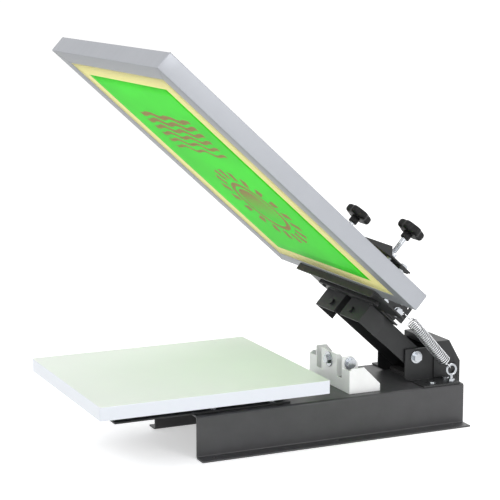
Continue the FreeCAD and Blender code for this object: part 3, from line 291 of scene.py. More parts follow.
@dataclass(frozen=True)
class Finish:
    """One surface finish of the press.

    Attributes:
        name: The material's name.
        colour: Base colour, linear.
        metal: How metallic it is.
        rough: Middle roughness.
        spread: How far the roughness wanders each way.
        tint: How far the colour darkens in blotches, 0 to 1.
        pattern: Which fine structure its bump follows.
        depth: Bump depth in metres.
        sheen: Strength of the plain surface reflection.
    """

    name: str
    colour: Colour
    metal: float = 0.0
    rough: float = 0.5
    spread: float = 0.06
    tint: float = 0.08
    pattern: Pattern = Pattern.POWDER
    depth: float = 0.00002
    sheen: float = 0.5

    def build(self) -> bpy.types.Material:
        """Make the material: blotchy colour, wandering roughness and a fine bump."""
        sheet = MaterialSheet(self.name)
        sheet.fix("Metallic", self.metal)
        sheet.fix("Specular IOR Level", self.sheen)
        dark = shade(self.colour, 1.0 - self.tint)
        light = shade(self.colour, 1.0 + self.tint * 0.6)
        sheet.paint(sheet.ramp(sheet.noise(scale=28.0, detail=5.0), [(0.32, dark), (0.68, light)]))
        smear = sheet.noise(scale=90.0, detail=6.0)
        sheet.roughen(smear, low=self.rough - self.spread, high=self.rough + self.spread)
        grain = self.pattern.value
        if grain is not None:
            fine = sheet.noise(grain.scale, grain.detail, grain.stretch)
            sheet.bump(fine, self.depth, grain.strength)
        return sheet.material


CHARCOAL = Finish("charcoal_powder_coat", (0.060, 0.060, 0.063), rough=0.42, tint=0.12)
BLACK = Finish("black_powder_coat", (0.021, 0.022, 0.023), rough=0.46, tint=0.15, sheen=0.42)
GATE_ZINC = Finish("bright_gate_zinc", (0.96, 0.963, 0.97), metal=0.10, rough=0.34, tint=0.04,
                   pattern=Pattern.BRUSHED)
ZINC = Finish("zinc_hardware", (0.50, 0.52, 0.55), metal=1.0, rough=0.27, tint=0.10,
              pattern=Pattern.CAST, depth=0.00003)
KNOB = Finish("knob_black_plastic", (0.010, 0.010, 0.011), rough=0.48, tint=0.1,
              pattern=Pattern.CAST, depth=0.00004, sheen=0.22)
RUBBER = Finish("black_rubber", (0.022, 0.022, 0.022), rough=0.75, pattern=Pattern.CAST)
NYLON = Finish("natural_nylon", (0.75, 0.74, 0.70), rough=0.45, pattern=Pattern.SMOOTH)


@dataclass(frozen=True)
class SpringFinish(Finish):
    """Bright zinc wire, dull where its curls shade each other.

    Attributes:
        shaded: Colour between the curls.
        reach: How far away a curl still shades, in metres.
    """

    name: str = "spring_zinc"
    colour: Colour = (0.66, 0.67, 0.69)
    shaded: Colour = (0.010, 0.010, 0.011)
    reach: float = 0.016

    def build(self) -> bpy.types.Material:
        """Make the material: drawn wire whose colour falls off with the light that reaches it."""
        sheet = MaterialSheet(self.name)
        sheet.fix("Metallic", 1.0)
        open_sky = sheet.node("ShaderNodeAmbientOcclusion")
        open_sky.inputs["Distance"].default_value = self.reach
        bright = shade(self.colour, 1.1)
        sheet.paint(sheet.ramp(open_sky.outputs["AO"], [(0.42, self.shaded), (0.86, bright)]))
        sheet.roughen(sheet.noise(scale=120.0, detail=5.0), low=0.20, high=0.34)
        sheet.bump(sheet.noise(scale=900.0, detail=3.0), depth=0.00001, strength=0.4)
        return sheet.material


@dataclass(frozen=True)
class RailFinish(Finish):
    """Light satin aluminium of the screen frame, with its underside painted greyer as shade.

    Attributes:
        under: Colour of the underside, darkened as painted shade.
        drawn: Stretch of the broad draw lines along the rails.
        scratched: Stretch of the fine scratches.
    """

    name: str = "satin_screen_aluminium"
    colour: Colour = (0.43, 0.445, 0.48)
    under: Colour = (0.25, 0.26, 0.28)
    drawn: Place = (1.0, 0.08, 0.08)
    scratched: Place = (1.0, 0.1, 0.1)

    def build(self) -> bpy.types.Material:
        """Make the material: long faint draw lines, small scuffs and an underside greyed as painted
        shade.
        """
        sheet = MaterialSheet(self.name)
        sheet.fix("Metallic", 0.35)
        lines = sheet.noise(scale=60.0, detail=5.0, stretch=self.drawn)
        scuff = sheet.noise(scale=14.0, detail=7.0)
        pale = sheet.ramp(lines, [(0.30, shade(self.colour, 0.96)), (0.70, self.colour)])
        # Painted shade: faces that point down under the tipped head get the darker underside
        # colour, blotched by the scuff noise.
        shaded_underside = sheet.ramp(scuff, [(0.35, self.under), (0.75, shade(self.under, 1.15))])
        tilt = math.radians(HEAD.tilt)
        below = sheet.facing((0.0, -math.sin(tilt), -math.cos(tilt)), least=0.8)
        sheet.paint(sheet.mix(below, pale, shaded_underside))
        sheet.roughen(scuff, low=0.36, high=0.52)
        scratches = sheet.noise(scale=1200.0, detail=3.0, stretch=self.scratched)
        sheet.bump(scratches, depth=0.00002, strength=0.4)
        return sheet.material


@dataclass(frozen=True)
class PlatenFinish(Finish):
    """Pale laminate with a white edge band.

    Attributes:
        edge: Colour of the edge band.
    """

    name: str = "platen_laminate"
    colour: Colour = (0.90, 0.915, 0.90)
    edge: Colour = (0.80, 0.83, 0.90)

    def build(self) -> bpy.types.Material:
        """Make the material: a faintly clouded top and a cooler edge band."""
        sheet = MaterialSheet(self.name)
        sheet.fix("Coat Weight", 0.15)
        cloud = sheet.noise(scale=9.0, detail=6.0)
        top = sheet.ramp(cloud, [(0.3, shade(self.colour, 0.975)), (0.7, self.colour)])
        sheet.paint(sheet.mix(sheet.facing((0.0, 0.0, 1.0), least=0.7), self.edge, top))
        sheet.roughen(sheet.noise(scale=40.0, detail=5.0), low=0.26, high=0.40)
        sheet.bump(sheet.noise(scale=1500.0, detail=2.0), depth=0.00001, strength=0.3)
        return sheet.material


@dataclass(frozen=True)
class WeaveFinish(Finish):
    """Pale yellow monofilament mesh."""

    name: str = "yellow_screen_mesh"
    colour: Colour = (0.97, 0.93, 0.57)

    def build(self) -> bpy.types.Material:
        """Make the material: crossed threads as two sine waves, and light that passes through."""
        sheet = MaterialSheet(self.name)
        weave = sheet.weave()
        base = sheet.ramp(weave, [(0.2, shade(self.colour, 0.93)), (0.8, self.colour)])
        sheet.see_through(base, share=0.55)
        sheet.fix("Roughness", 0.55)
        sheet.bump(weave, depth=0.00004, strength=0.4)
        return sheet.material


@dataclass(frozen=True)
class StencilFinish(Finish):
    """Green emulsion with a plain sun and waves left open in it. Lengths are in metres.

    Attributes:
        open_colour: Colour of the open mesh where no emulsion is.
        sun_up: How far up the sheet the sun's middle is.
        disc_rad: Radius of the dotted disc.
        dot_turn: Angle that the dots' sines turn a metre.
        dot_level: Level over which the dots are open, at the sun's middle.
        dot_climb: How far that level climbs a metre.
        ring_rad: Radius of the ring round the disc.
        ring_half: Half the ring's width.
        crown_rad: Radius at the middle of the rays.
        crown_half: Half a ray's length.
        rays: Number of rays.
        ray_level: Level over which a ray is open.
        wave_low: Lower end of the band of waves.
        wave_high: Upper end of the band of waves.
        wave_half: Half the width of the band.
        wave_step: Height from one wave to the next.
        wave_climb: How far the level over which a wave is open climbs a metre.
        sway: How far a wave rises and falls.
        sway_turn: Angle that a wave's sine turns a metre.
    """

    name: str = "green_emulsion"
    colour: Colour = (0.110, 0.97, 0.035)
    open_colour: Colour = (0.56, 0.42, 0.12)
    sun_up: float = 0.33
    disc_rad: float = 0.048
    dot_turn: float = 520.0
    dot_level: float = 0.45
    dot_climb: float = 12.0
    ring_rad: float = 0.060
    ring_half: float = 0.005
    crown_rad: float = 0.088
    crown_half: float = 0.013
    rays: int = 18
    ray_level: float = 0.1
    wave_low: float = 0.085
    wave_high: float = 0.190
    wave_half: float = 0.112
    wave_step: float = 0.0175
    wave_climb: float = 9.0
    sway: float = 0.004
    sway_turn: float = 75.0

    def build(self) -> bpy.types.Material:
        """Make the material: the open shapes in tan mesh, the rest in translucent green."""
        sheet = MaterialSheet(self.name)
        cloud = sheet.noise(scale=7.0, detail=5.0)
        green = sheet.ramp(cloud, [(0.3, shade(self.colour, 0.90)), (0.7, self.colour)])
        shape = sheet.maths("MAXIMUM", self.sun(sheet), self.waves(sheet))
        sheet.see_through(sheet.mix(shape, green, self.open_colour), share=0.60)
        sheet.fix("Roughness", 0.42)
        sheet.bump(sheet.weave(), depth=0.00002, strength=0.25)
        return sheet.material

    def sun(self, sheet: MaterialSheet) -> bpy.types.NodeSocket:
        """Make a dotted disc, a ring round it and a crown of rays, as a 0 or 1 mask.

        The dots are where the product of a sine each way is over a level that climbs up the disc.
        """
        across, up = sheet.own_place()
        rise = sheet.maths("SUBTRACT", up, self.sun_up)
        square = sheet.maths("MULTIPLY_ADD", rise, rise, sheet.maths("MULTIPLY", across, across))
        reach = sheet.maths("SQRT", square)
        ring = sheet.maths("COMPARE", reach, self.ring_rad, self.ring_half)
        angle = sheet.maths("ARCTAN2", rise, across)
        ray = sheet.maths("GREATER_THAN", sheet.swing(angle, self.rays), self.ray_level)
        belt = sheet.maths("COMPARE", reach, self.crown_rad, self.crown_half)
        crown = sheet.maths("MULTIPLY", ray, belt)
        dots = sheet.maths("MULTIPLY", sheet.swing(across, self.dot_turn),
                           sheet.swing(rise, self.dot_turn))
        level = sheet.maths("MULTIPLY_ADD", rise, self.dot_climb, self.dot_level)
        dotted = sheet.maths("GREATER_THAN", sheet.maths("ABSOLUTE", dots), level)
        disc = sheet.maths("MULTIPLY", dotted, sheet.maths("LESS_THAN", reach, self.disc_rad))
        return sheet.maths("MAXIMUM", ring, sheet.maths("MAXIMUM", crown, disc))

    def waves(self, sheet: MaterialSheet) -> bpy.types.NodeSocket:
        """Make a band of wavy stripes that thin out upwards, as a 0 or 1 mask.

        A stripe is where the sine of the swayed height is over a level that climbs up the band.
        """
        across, up = sheet.own_place()
        sway = sheet.maths("MULTIPLY", sheet.swing(across, self.sway_turn), self.sway)
        swayed = sheet.swing(sheet.maths("ADD", up, sway), 2.0 * math.pi / self.wave_step)
        middle = (self.wave_low + self.wave_high) / 2
        half = (self.wave_high - self.wave_low) / 2
        level = sheet.maths("MULTIPLY", sheet.maths("SUBTRACT", up, middle), self.wave_climb)
        stripe = sheet.maths("GREATER_THAN", swayed, level)
        inside = sheet.maths("MULTIPLY", sheet.maths("COMPARE", up, middle, half),
                             sheet.maths("COMPARE", across, 0.0, self.wave_half))
        return sheet.maths("MULTIPLY", stripe, inside)


@dataclass(frozen=True)
class FloorFinish(Finish):
    """White paper floor that shows plain white to the camera except in the press's shadow.

    Attributes:
        lift: Strength of the glow that makes the lit floor plain white.
    """

    name: str = "white_floor"
    colour: Colour = (0.92, 0.92, 0.92)
    lift: float = 0.50

    def build(self) -> bpy.types.Material:
        """Make the material: diffuse paper with a glow for camera, mirror and glass rays only."""
        sheet = MaterialSheet(self.name)
        sheet.fix("Base Color", (*self.colour, 1.0))
        sheet.fix("Roughness", 0.9)
        sheet.fix("Specular IOR Level", 0.0)
        sheet.fix("Emission Color", WHITE)
        glow = sheet.maths("MULTIPLY", sheet.white_rays(), self.lift)
        sheet.link(glow, sheet.shader.inputs["Emission Strength"])
        return sheet.material


MESH_WEAVE = WeaveFinish()
EMULSION = StencilFinish()
RAILS = RailFinish()
SPRING = SpringFinish()
FLOOR = FloorFinish()
LAMINATE = PlatenFinish()


class Wardrobe:
    """Builds each finish once and hands it out."""

    def __init__(self) -> None:
        """Start with no material made."""
        self.made: dict[str, bpy.types.Material] = {}

    def get(self, finish: Finish) -> bpy.types.Material:
        """Give the material of a finish, made at its first use."""
        if finish.name not in self.made:
            self.made[finish.name] = finish.build()
        return self.made[finish.name]


WARDROBE = Wardrobe()


def dress(item: bpy.types.Object, finish: Finish) -> None:
    """Give every slot of an object one finish."""
    material = WARDROBE.get(finish)
    if not item.material_slots:
        item.data.materials.append(material)
    for slot in item.material_slots:
        slot.material = material


def place_mesh(name: str, mesh: bpy.types.Mesh, finish: Finish) -> bpy.types.Object:
    """Shade a mesh smoothly, put it in the scene as one object and dress it."""
    mesh.polygons.foreach_set("use_smooth", np.full(len(mesh.polygons), True))
    item = bpy.data.objects.new(name, mesh)
    bpy.context.scene.collection.objects.link(item)
    dress(item, finish)
    return item


def surface(name: str, points: np.ndarray, faces: np.ndarray, finish: Finish,
            uv: Optional[np.ndarray] = None) -> bpy.types.Object:
    """Make a mesh object from whole arrays.

    Args:
        name: The piece's name.
        points: Vertices, one row each.
        faces: Quads as vertex numbers, one row each.
        finish: Its finish.
        uv: A UV place for each vertex, if the finish reads one.

    Returns:
        The linked object, dressed.
    """
    mesh = bpy.data.meshes.new(name)
    mesh.from_pydata(points.reshape(-1, 3), [], faces.reshape(-1, 4))
    if uv is not None:
        layer = mesh.uv_layers.new(name="UVMap")
        corner = np.empty(len(mesh.loops), dtype=np.int32)
        mesh.loops.foreach_get("vertex_index", corner)
        layer.data.foreach_set("uv", uv.reshape(-1, 2)[corner].astype(np.float32).ravel())
    mesh.update()
    return place_mesh(name, mesh, finish)


def soften(item: bpy.types.Object, width: float, segments: int = 2, least: float = 30.0) -> None:
    """Bevel an object's edges that are sharper than the least angle, in degrees."""
    bevel = item.modifiers.new("Bevel", "BEVEL")
    bevel.width = width
    bevel.segments = segments
    bevel.limit_method = "ANGLE"
    bevel.angle_limit = math.radians(least)


def unit(vector: np.ndarray) -> np.ndarray:
    """Give a vector's direction: the vector divided by its length."""
    return vector / np.linalg.norm(vector)


def grid_faces(rows: int, columns: int, wrap_rows: bool = False, wrap_columns: bool = False
               ) -> np.ndarray:
    """Number the quads of a grid of points, rows by columns, either way wrapped round."""
    row = np.arange(rows if wrap_rows else rows - 1)
    column = np.arange(columns if wrap_columns else columns - 1)
    r, c = np.meshgrid(row, column, indexing="ij")
    after_r, after_c = (r + 1) % rows, (c + 1) % columns
    return np.stack([r * columns + c, r * columns + after_c, after_r * columns + after_c,
                     after_r * columns + c], axis=-1).reshape(-1, 4)


def turned(profile: Sequence[tuple[float, float]], spin: int,
           shape: Optional[Callable[[np.ndarray, np.ndarray], np.ndarray]] = None) -> np.ndarray:
    """Carry a profile of radius and height round the Z axis.

    Args:
        profile: Radius and height, from the bottom's middle to the top's middle.
        spin: How many steps round.
        shape: A factor on the radius, from the angle and the radius.

    Returns:
        The grid of points, profile by spin.
    """
    line = np.asarray(profile, dtype=float)
    angle = np.linspace(0.0, 2.0 * math.pi, spin, endpoint=False)
    radius = np.repeat(line[:, :1], spin, axis=1)
    if shape is not None:
        radius = radius * shape(angle[None, :], radius)
    height = np.repeat(line[:, 1:], spin, axis=1)
    return np.stack([radius * np.cos(angle), radius * np.sin(angle), height], axis=-1)


def wire_mesh(name: str, path: np.ndarray, radius: float, finish: Finish, arcs: int = 3
              ) -> bpy.types.Object:
    """Carry a circle along a path, without twist, and close both ends.

    Args:
        name: The piece's name.
        path: Points along the wire's centre.
        radius: The wire's radius.
        finish: Its finish.
        arcs: How finely the circle is divided, as Blender's bevel resolution.

    Returns:
        The linked mesh object, dressed.
    """
    curve = bpy.data.curves.new(name + "_path", "CURVE")
    curve.dimensions = "3D"
    curve.bevel_depth = radius
    curve.bevel_resolution = arcs
    curve.use_fill_caps = True
    spline = curve.splines.new("POLY")
    spline.points.add(len(path) - 1)
    places = np.concatenate([path, np.ones((len(path), 1))], axis=1)
    spline.points.foreach_set("co", places.astype(np.float32).ravel())
    guide = bpy.data.objects.new(name + "_path", curve)
    mesh = bpy.data.meshes.new_from_object(guide)
    mesh.name = name
    bpy.data.objects.remove(guide)
    bpy.data.curves.remove(curve)
    return place_mesh(name, mesh, finish)


@dataclass
class SubAssembly:
    """A group of pieces that move with one body."""

    body: str = "base"

    def take(self, item: bpy.types.Object, slot: str, *nodes: str) -> None:
        """Let a new piece ride on the body and stand for its CAD nodes.

        Args:
            item: The new piece.
            slot: The record's material slot; not used.
            nodes: The CAD nodes that it stands for.
        """
        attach(item, self.body)
        if nodes:
            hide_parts(*nodes)
        LOG.info("%s rides on %s", item.name, self.body)


@dataclass
class CadSkin:
    """Finishes and soft edges for the CAD nodes whose shape is already right.

    Attributes:
        nodes: The frame's node objects by name.
        edge: Width of the bevel that softens stamped edges, in metres.
        fold: Angle between faces over which an edge is softened, in degrees.
        join: How near loose corners are when they are merged, in metres.
    """

    nodes: dict[str, bpy.types.Object]
    edge: float = 0.0004
    fold: float = 50.0
    join: float = 0.000002

    FINISHES: ClassVar[dict[Finish, tuple[str, ...]]] = {
        CHARCOAL: ("base_channel",),
        BLACK: ("lift_arm", "skirt_right", "skirt_left", "cross_bar", "clamp_bed", "head_bracket",
                "cheek_right", "cheek_left", "clamp_bridge", "pivot_bracket_right",
                "pivot_bracket_left", "tower_hood", "platen_bracket", "skirt_bolts",
                "cross_bar_screws", "hood_screws"),
        GATE_ZINC: ("registration_gate",),
        LAMINATE: ("platen_board",),
        RUBBER: ("arm_stop_bumper", "clamp_pad_right", "clamp_pad_left"),
        NYLON: ("pivot_bushes",),
    }

    def dress_all(self) -> None:
        """Dress every node, zinc where no other finish names it, and soften its sharp edges.

        A node's loose triangles are merged by a modifier first, so that the bevel finds the edges.
        """
        named = {name: finish for finish, names in self.FINISHES.items() for name in names}
        for name, item in self.nodes.items():
            dress(item, named.get(name, ZINC))
            weld = item.modifiers.new("Weld", "WELD")
            weld.merge_threshold = self.join
            soften(item, self.edge, least=self.fold)
            LOG.info("%s is dressed", name)


@dataclass
class Screen(SubAssembly):
    """The framed screen: four welded rails, stretched mesh and emulsion. Lengths are in metres.

    Attributes:
        half: Half its width.
        long: Its length.
        thick: Its rails' height.
        side: Width of the side rails.
        front: Width of the front rail.
        rear: Width of the rear rail.
        corner: Radius of the rails' long edges.
        edge: Width of the bevel on the rails' sharp edges.
        bead_half: Half the width of a weld bead.
        bead_rise: How far a bead stands over its rail.
        bead_sink: How far its edges lie under the rail's face.
        ripple: How far a bead swells and thins, as a share of its size.
        ripple_turn: Angle that the ripple's sine turns along a whole mitre.
        mesh_level: Height of the stretched mesh.
        mesh_thick: Its thickness.
        film_side: From the frame's side to the emulsion.
        film_front: From the frame's front to the emulsion.
        film_rear: From the frame's rear to the emulsion.
        film_level: Height of the emulsion.
        film_thick: Its thickness.
        steps: Grid lines along a rail, and each way across a sheet.
    """

    body: str = "head"
    half: float = 0.254
    long: float = 0.6096
    thick: float = 0.0314
    side: float = 0.036
    front: float = 0.032
    rear: float = 0.030
    corner: float = 0.0022
    edge: float = 0.0012
    bead_half: float = 0.0017
    bead_rise: float = 0.00035
    bead_sink: float = 0.0001
    ripple: float = 0.18
    ripple_turn: float = 120.0
    mesh_level: float = 0.0007
    mesh_thick: float = 0.00035
    film_side: float = 0.0758
    film_front: float = 0.0592
    film_rear: float = 0.0596
    film_level: float = 0.0004
    film_thick: float = 0.0002
    steps: int = 24

    def build(self) -> None:
        """Build the rails, the mesh and the emulsion."""
        self.rails()
        self.weld_beads()
        self.cloth()
        self.stencil()

    def rail_profile(self) -> np.ndarray:
        """Round the corners of a rail's section.

        The section runs from 0, outside, to 1, inside, and from 0 to the rail's height; each
        corner is a quarter circle of the corner radius.
        """
        turn = np.linspace(0.0, math.pi / 2, 5)
        arc = np.stack([1.0 - np.cos(turn), 1.0 - np.sin(turn)], axis=-1)
        low_out = arc * (self.corner / self.side, self.corner)
        low_in = (1.0, 0.0) + low_out[::-1] * (-1.0, 1.0)
        high_in = (1.0, self.thick) - low_out
        high_out = (0.0, self.thick) + low_out[::-1] * (1.0, -1.0)
        return np.concatenate([low_out, low_in, high_in, high_out])

    def corners(self) -> tuple[np.ndarray, np.ndarray]:
        """Give the frame's outer and inner corners, anticlockwise from above."""
        sign = np.array([1.0, -1.0, -1.0, 1.0])
        outer = np.stack([self.half * sign, (0.0, 0.0, -self.long, -self.long)], axis=-1)
        within = self.front - self.long
        inner = np.stack([(self.half - self.side) * sign, (-self.rear, -self.rear, within, within)],
                         axis=-1)
        return outer, inner

    def rails(self) -> None:
        """Carry the section round the four mitred corners, each point on the corner's own mitre.

        Between two corners a point goes straight from the one mitre to the next.
        """
        outer, inner = self.corners()
        section = self.rail_profile()
        mitre = outer[:, None] + (inner - outer)[:, None] * section[:, :1]
        onward = np.roll(mitre, -1, axis=0) - mitre
        share = np.linspace(0.0, 1.0, self.steps, endpoint=False)[:, None, None]
        flat = np.concatenate(mitre[:, None] + onward[:, None] * share)
        height = np.broadcast_to(section[:, 1], flat.shape[:2])
        points = HEAD.tip(np.concatenate([flat, height[..., None]], axis=-1))
        faces = grid_faces(*flat.shape[:2], wrap_rows=True, wrap_columns=True)
        item = surface("screen_rails", points, faces, RAILS)
        soften(item, self.edge, segments=3, least=60.0)
        self.take(item, "screen_aluminium", "screen_frame")

    def weld_beads(self) -> None:
        """Lay a low, rippled weld bead along each mitre, above and below.

        A bead is a half round whose height and width ripple with a sine along its length, and
        whose width draws in at both ends with the fourth root of a half sine.
        """
        along = np.linspace(0.06, 0.94, 80)[:, None]
        around = np.linspace(0.0, math.pi, 7)
        ripple = 1.0 + self.ripple * np.sin(along * self.ripple_turn)
        width = self.bead_half * ripple * np.sin(math.pi * along) ** 0.25
        rise = self.bead_rise * np.sin(around) * ripple
        for index, (start, end) in enumerate(zip(*self.corners()), 1):
            run = end - start
            aside = unit(np.array([-run[1], run[0]]))
            flat = (start + run * along)[:, None] + (width * np.cos(around))[..., None] * aside
            faces = grid_faces(*flat.shape[:2])
            for word, level, order in (("top", self.thick - self.bead_sink + rise, -1),
                                       ("under", self.bead_sink - rise, 1)):
                points = HEAD.tip(np.concatenate([flat, level[..., None]], axis=-1))
                bead = surface("rail_weld_%d_%s" % (index, word), points, faces[:, ::order], RAILS)
                self.take(bead, "screen_aluminium")

    def flat_sheet(self, name: str, finish: Finish, half: float, low: float, high: float,
                   level: float, thick: float) -> bpy.types.Object:
        """Lay a flat sheet on the level head, with its own place in metres as its UV.

        Args:
            name: The piece's name.
            finish: Its finish.
            half: Half its width.
            low: Its front edge, behind the screen's rear edge.
            high: Its rear edge.
            level: Height of its middle.
            thick: Its thickness, given on both sides by a Solidify modifier.

        Returns:
            The linked object, dressed.
        """
        across, along = np.meshgrid(np.linspace(-half, half, self.steps),
                                    np.linspace(low, high, self.steps), indexing="ij")
        points = np.stack([across, along, np.full_like(across, level)], axis=-1)
        uv = np.stack([across, along - low], axis=-1)
        faces = grid_faces(self.steps, self.steps)[:, ::-1]
        item = surface(name, HEAD.tip(points), faces, finish, uv)
        solid = item.modifiers.new("Solidify", "SOLIDIFY")
        solid.thickness = thick
        solid.offset = 0.0
        return item

    def cloth(self) -> None:
        """Stretch the mesh across the opening."""
        half = self.half - self.side
        low, high = self.front - self.long, -self.rear
        item = self.flat_sheet("stretched_mesh", MESH_WEAVE, half, low, high, self.mesh_level,
                               self.mesh_thick)
        self.take(item, "mesh_yellow", "screen_mesh")

    def stencil(self) -> None:
        """Lay the emulsion under the mesh, with a margin of bare mesh all round."""
        item = self.flat_sheet("emulsion_film", EMULSION, self.half - self.film_side,
                               self.film_front - self.long, -self.film_rear, self.film_level,
                               self.film_thick)
        self.take(item, "emulsion_green", "screen_emulsion")


@dataclass
class LiftSpring(SubAssembly):
    """One extension spring, from the arm's lower corner to its eye bolt, as one wound wire.

    Attributes:
        side: Which side of the press it is on.
        wire: Radius of its wire.
        coil: Radius of the wire's centre in the wound body.
        curls: Number of curls.
        body_long: Length of the wound body with its two opening curls.
        run_in: Length in which a curl opens from the axis to the full coil.
        lead: Distance from the arm's corner to the wound body.
        hook: Radius of the hook round the eye bolt's ring.
        reach: Distance from the eye's centre to the middle of the hook.
        tail: Length of the wire's end past the hook.
        eye: Centre of the right eye bolt's ring.
        hole: The arm's hole for the wire on the level head, behind and above.
        inside: Distance from the press's middle to the wire's start, inside the arm.
        outside: Distance from the press's middle to the arm's outer corner.
        fold: How far before and after the corner the wire bends.
        grip: How far from its ends the spring starts to stretch.
        gap: Step from the last curl to the straight run after it.
        curl_steps: Points in a curl.
        run_steps: Points in a curl that opens.
    """

    side: Side = Side.RIGHT
    wire: float = 0.0011
    coil: float = 0.0093
    curls: int = 26
    body_long: float = 0.116
    run_in: float = 0.009
    lead: float = 0.011
    hook: float = 0.00385
    reach: float = 0.00925
    tail: float = 0.004
    eye: Place = (0.0855, 0.2399, 0.099)
    hole: tuple[float, float] = (0.0966, 0.0207)
    inside: float = 0.060
    outside: float = 0.0704
    fold: float = 0.003
    grip: float = 0.004
    gap: float = 0.001
    curl_steps: int = 28
    run_steps: int = 30

    def build(self) -> None:
        """Wind the spring between the base and the head."""
        path, lower, upper = self.course()
        mirror = np.array([float(self.side.value), 1.0, 1.0])
        node = "lift_spring_%s" % self.side.word
        item = wire_mesh("wound_%s" % node, path * mirror, self.wire, SPRING)
        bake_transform(item)
        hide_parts(node)
        LOG.info("%s stretches between the base and the head", item.name)

    def course(self) -> tuple[np.ndarray, np.ndarray, np.ndarray]:
        """Lay the wire's centre line on the right side.

        Returns:
            The line's points, and where it leaves its lower and its upper hook.
        """
        hole = HEAD.tip(np.array([0.0, *self.hole]))
        out = np.array([1.0, 0.0, 0.0])
        start, corner = hole + out * self.inside, hole + out * self.outside
        eye = np.array(self.eye)
        up = unit((corner - eye) * (0.0, 1.0, 1.0))
        catch = eye + up * self.reach
        arrive = catch + out * self.hook
        axis = unit(arrive - corner)
        body = corner + axis * self.lead
        wound = body + self.curl(axis, unit(out - axis * (out @ axis)))
        rest = np.linalg.norm(arrive - corner) - self.lead - self.body_long - self.gap
        straight = arrive - np.outer(np.linspace(rest, 0.0, 16), axis)
        turn = np.linspace(0.0, math.pi, 20)[1:]
        loop = catch + (np.outer(np.cos(turn), out) - np.outer(np.sin(turn), up)) * self.hook
        tail = loop[-1] + np.outer(np.linspace(0.25, 1.0, 4), up * self.tail)
        path = np.concatenate([self.bend(start, corner, body), wound, straight, loop, tail])
        return path, arrive - axis * self.grip, corner + axis * self.grip

    def bend(self, start: np.ndarray, corner: np.ndarray, end: np.ndarray) -> np.ndarray:
        """Bend the wire over the arm's edge.

        The bend is a quadratic curve whose middle control point is the corner.

        Args:
            start: Where the wire starts, inside the arm.
            corner: The arm's corner.
            end: Where the wound body starts.

        Returns:
            The points from the start to just before the end.
        """
        near = corner + unit(start - corner) * self.fold
        far = corner + unit(end - corner) * self.fold
        share = np.linspace(0.0, 1.0, 9)[:, None]
        curve = near * (1 - share) ** 2 + corner * 2 * share * (1 - share) + far * share ** 2
        first = start + (near - start) * np.linspace(0.0, 0.9, 8)[:, None]
        last = far + (end - far) * np.linspace(0.08, 0.95, 12)[:, None]
        return np.concatenate([first, curve, last])

    def curl(self, axis: np.ndarray, first: np.ndarray) -> np.ndarray:
        """Wind the body as a helix, with a curl at each end that opens from the axis.

        An opening curl takes half a turn. Its radius is the smooth step of the share of the run,
        and its height is a cubic of that share that ends at the helix's own slope.

        Args:
            axis: Direction of the body.
            first: Direction in which the first curl opens, square to the axis.

        Returns:
            The points, from the start of the body.
        """
        second = np.cross(axis, first)
        pitch = (self.body_long - 2 * self.run_in) / self.curls
        share = np.linspace(0.0, 1.0, self.run_steps)
        slope = pitch / 2 / self.run_in
        opening = self.coil * share ** 2 * (3 - 2 * share)
        level = self.run_in * (share + (slope - 1) * share ** 2 * (share - 1))
        swing = math.pi * (share - 1)
        whole = 2 * math.pi * self.curls
        middle = np.linspace(0.0, whole, self.curl_steps * self.curls)[1:-1]
        angle = np.concatenate([swing, middle, whole - swing[::-1]])
        radius = np.concatenate([opening, np.full(middle.size, self.coil), opening[::-1]])
        height = np.concatenate([level, self.run_in + middle * pitch / (2 * math.pi),
                                 self.body_long - level[::-1]])
        return np.outer(height, axis) + np.outer(radius * np.cos(angle), first) \
            + np.outer(radius * np.sin(angle), second)


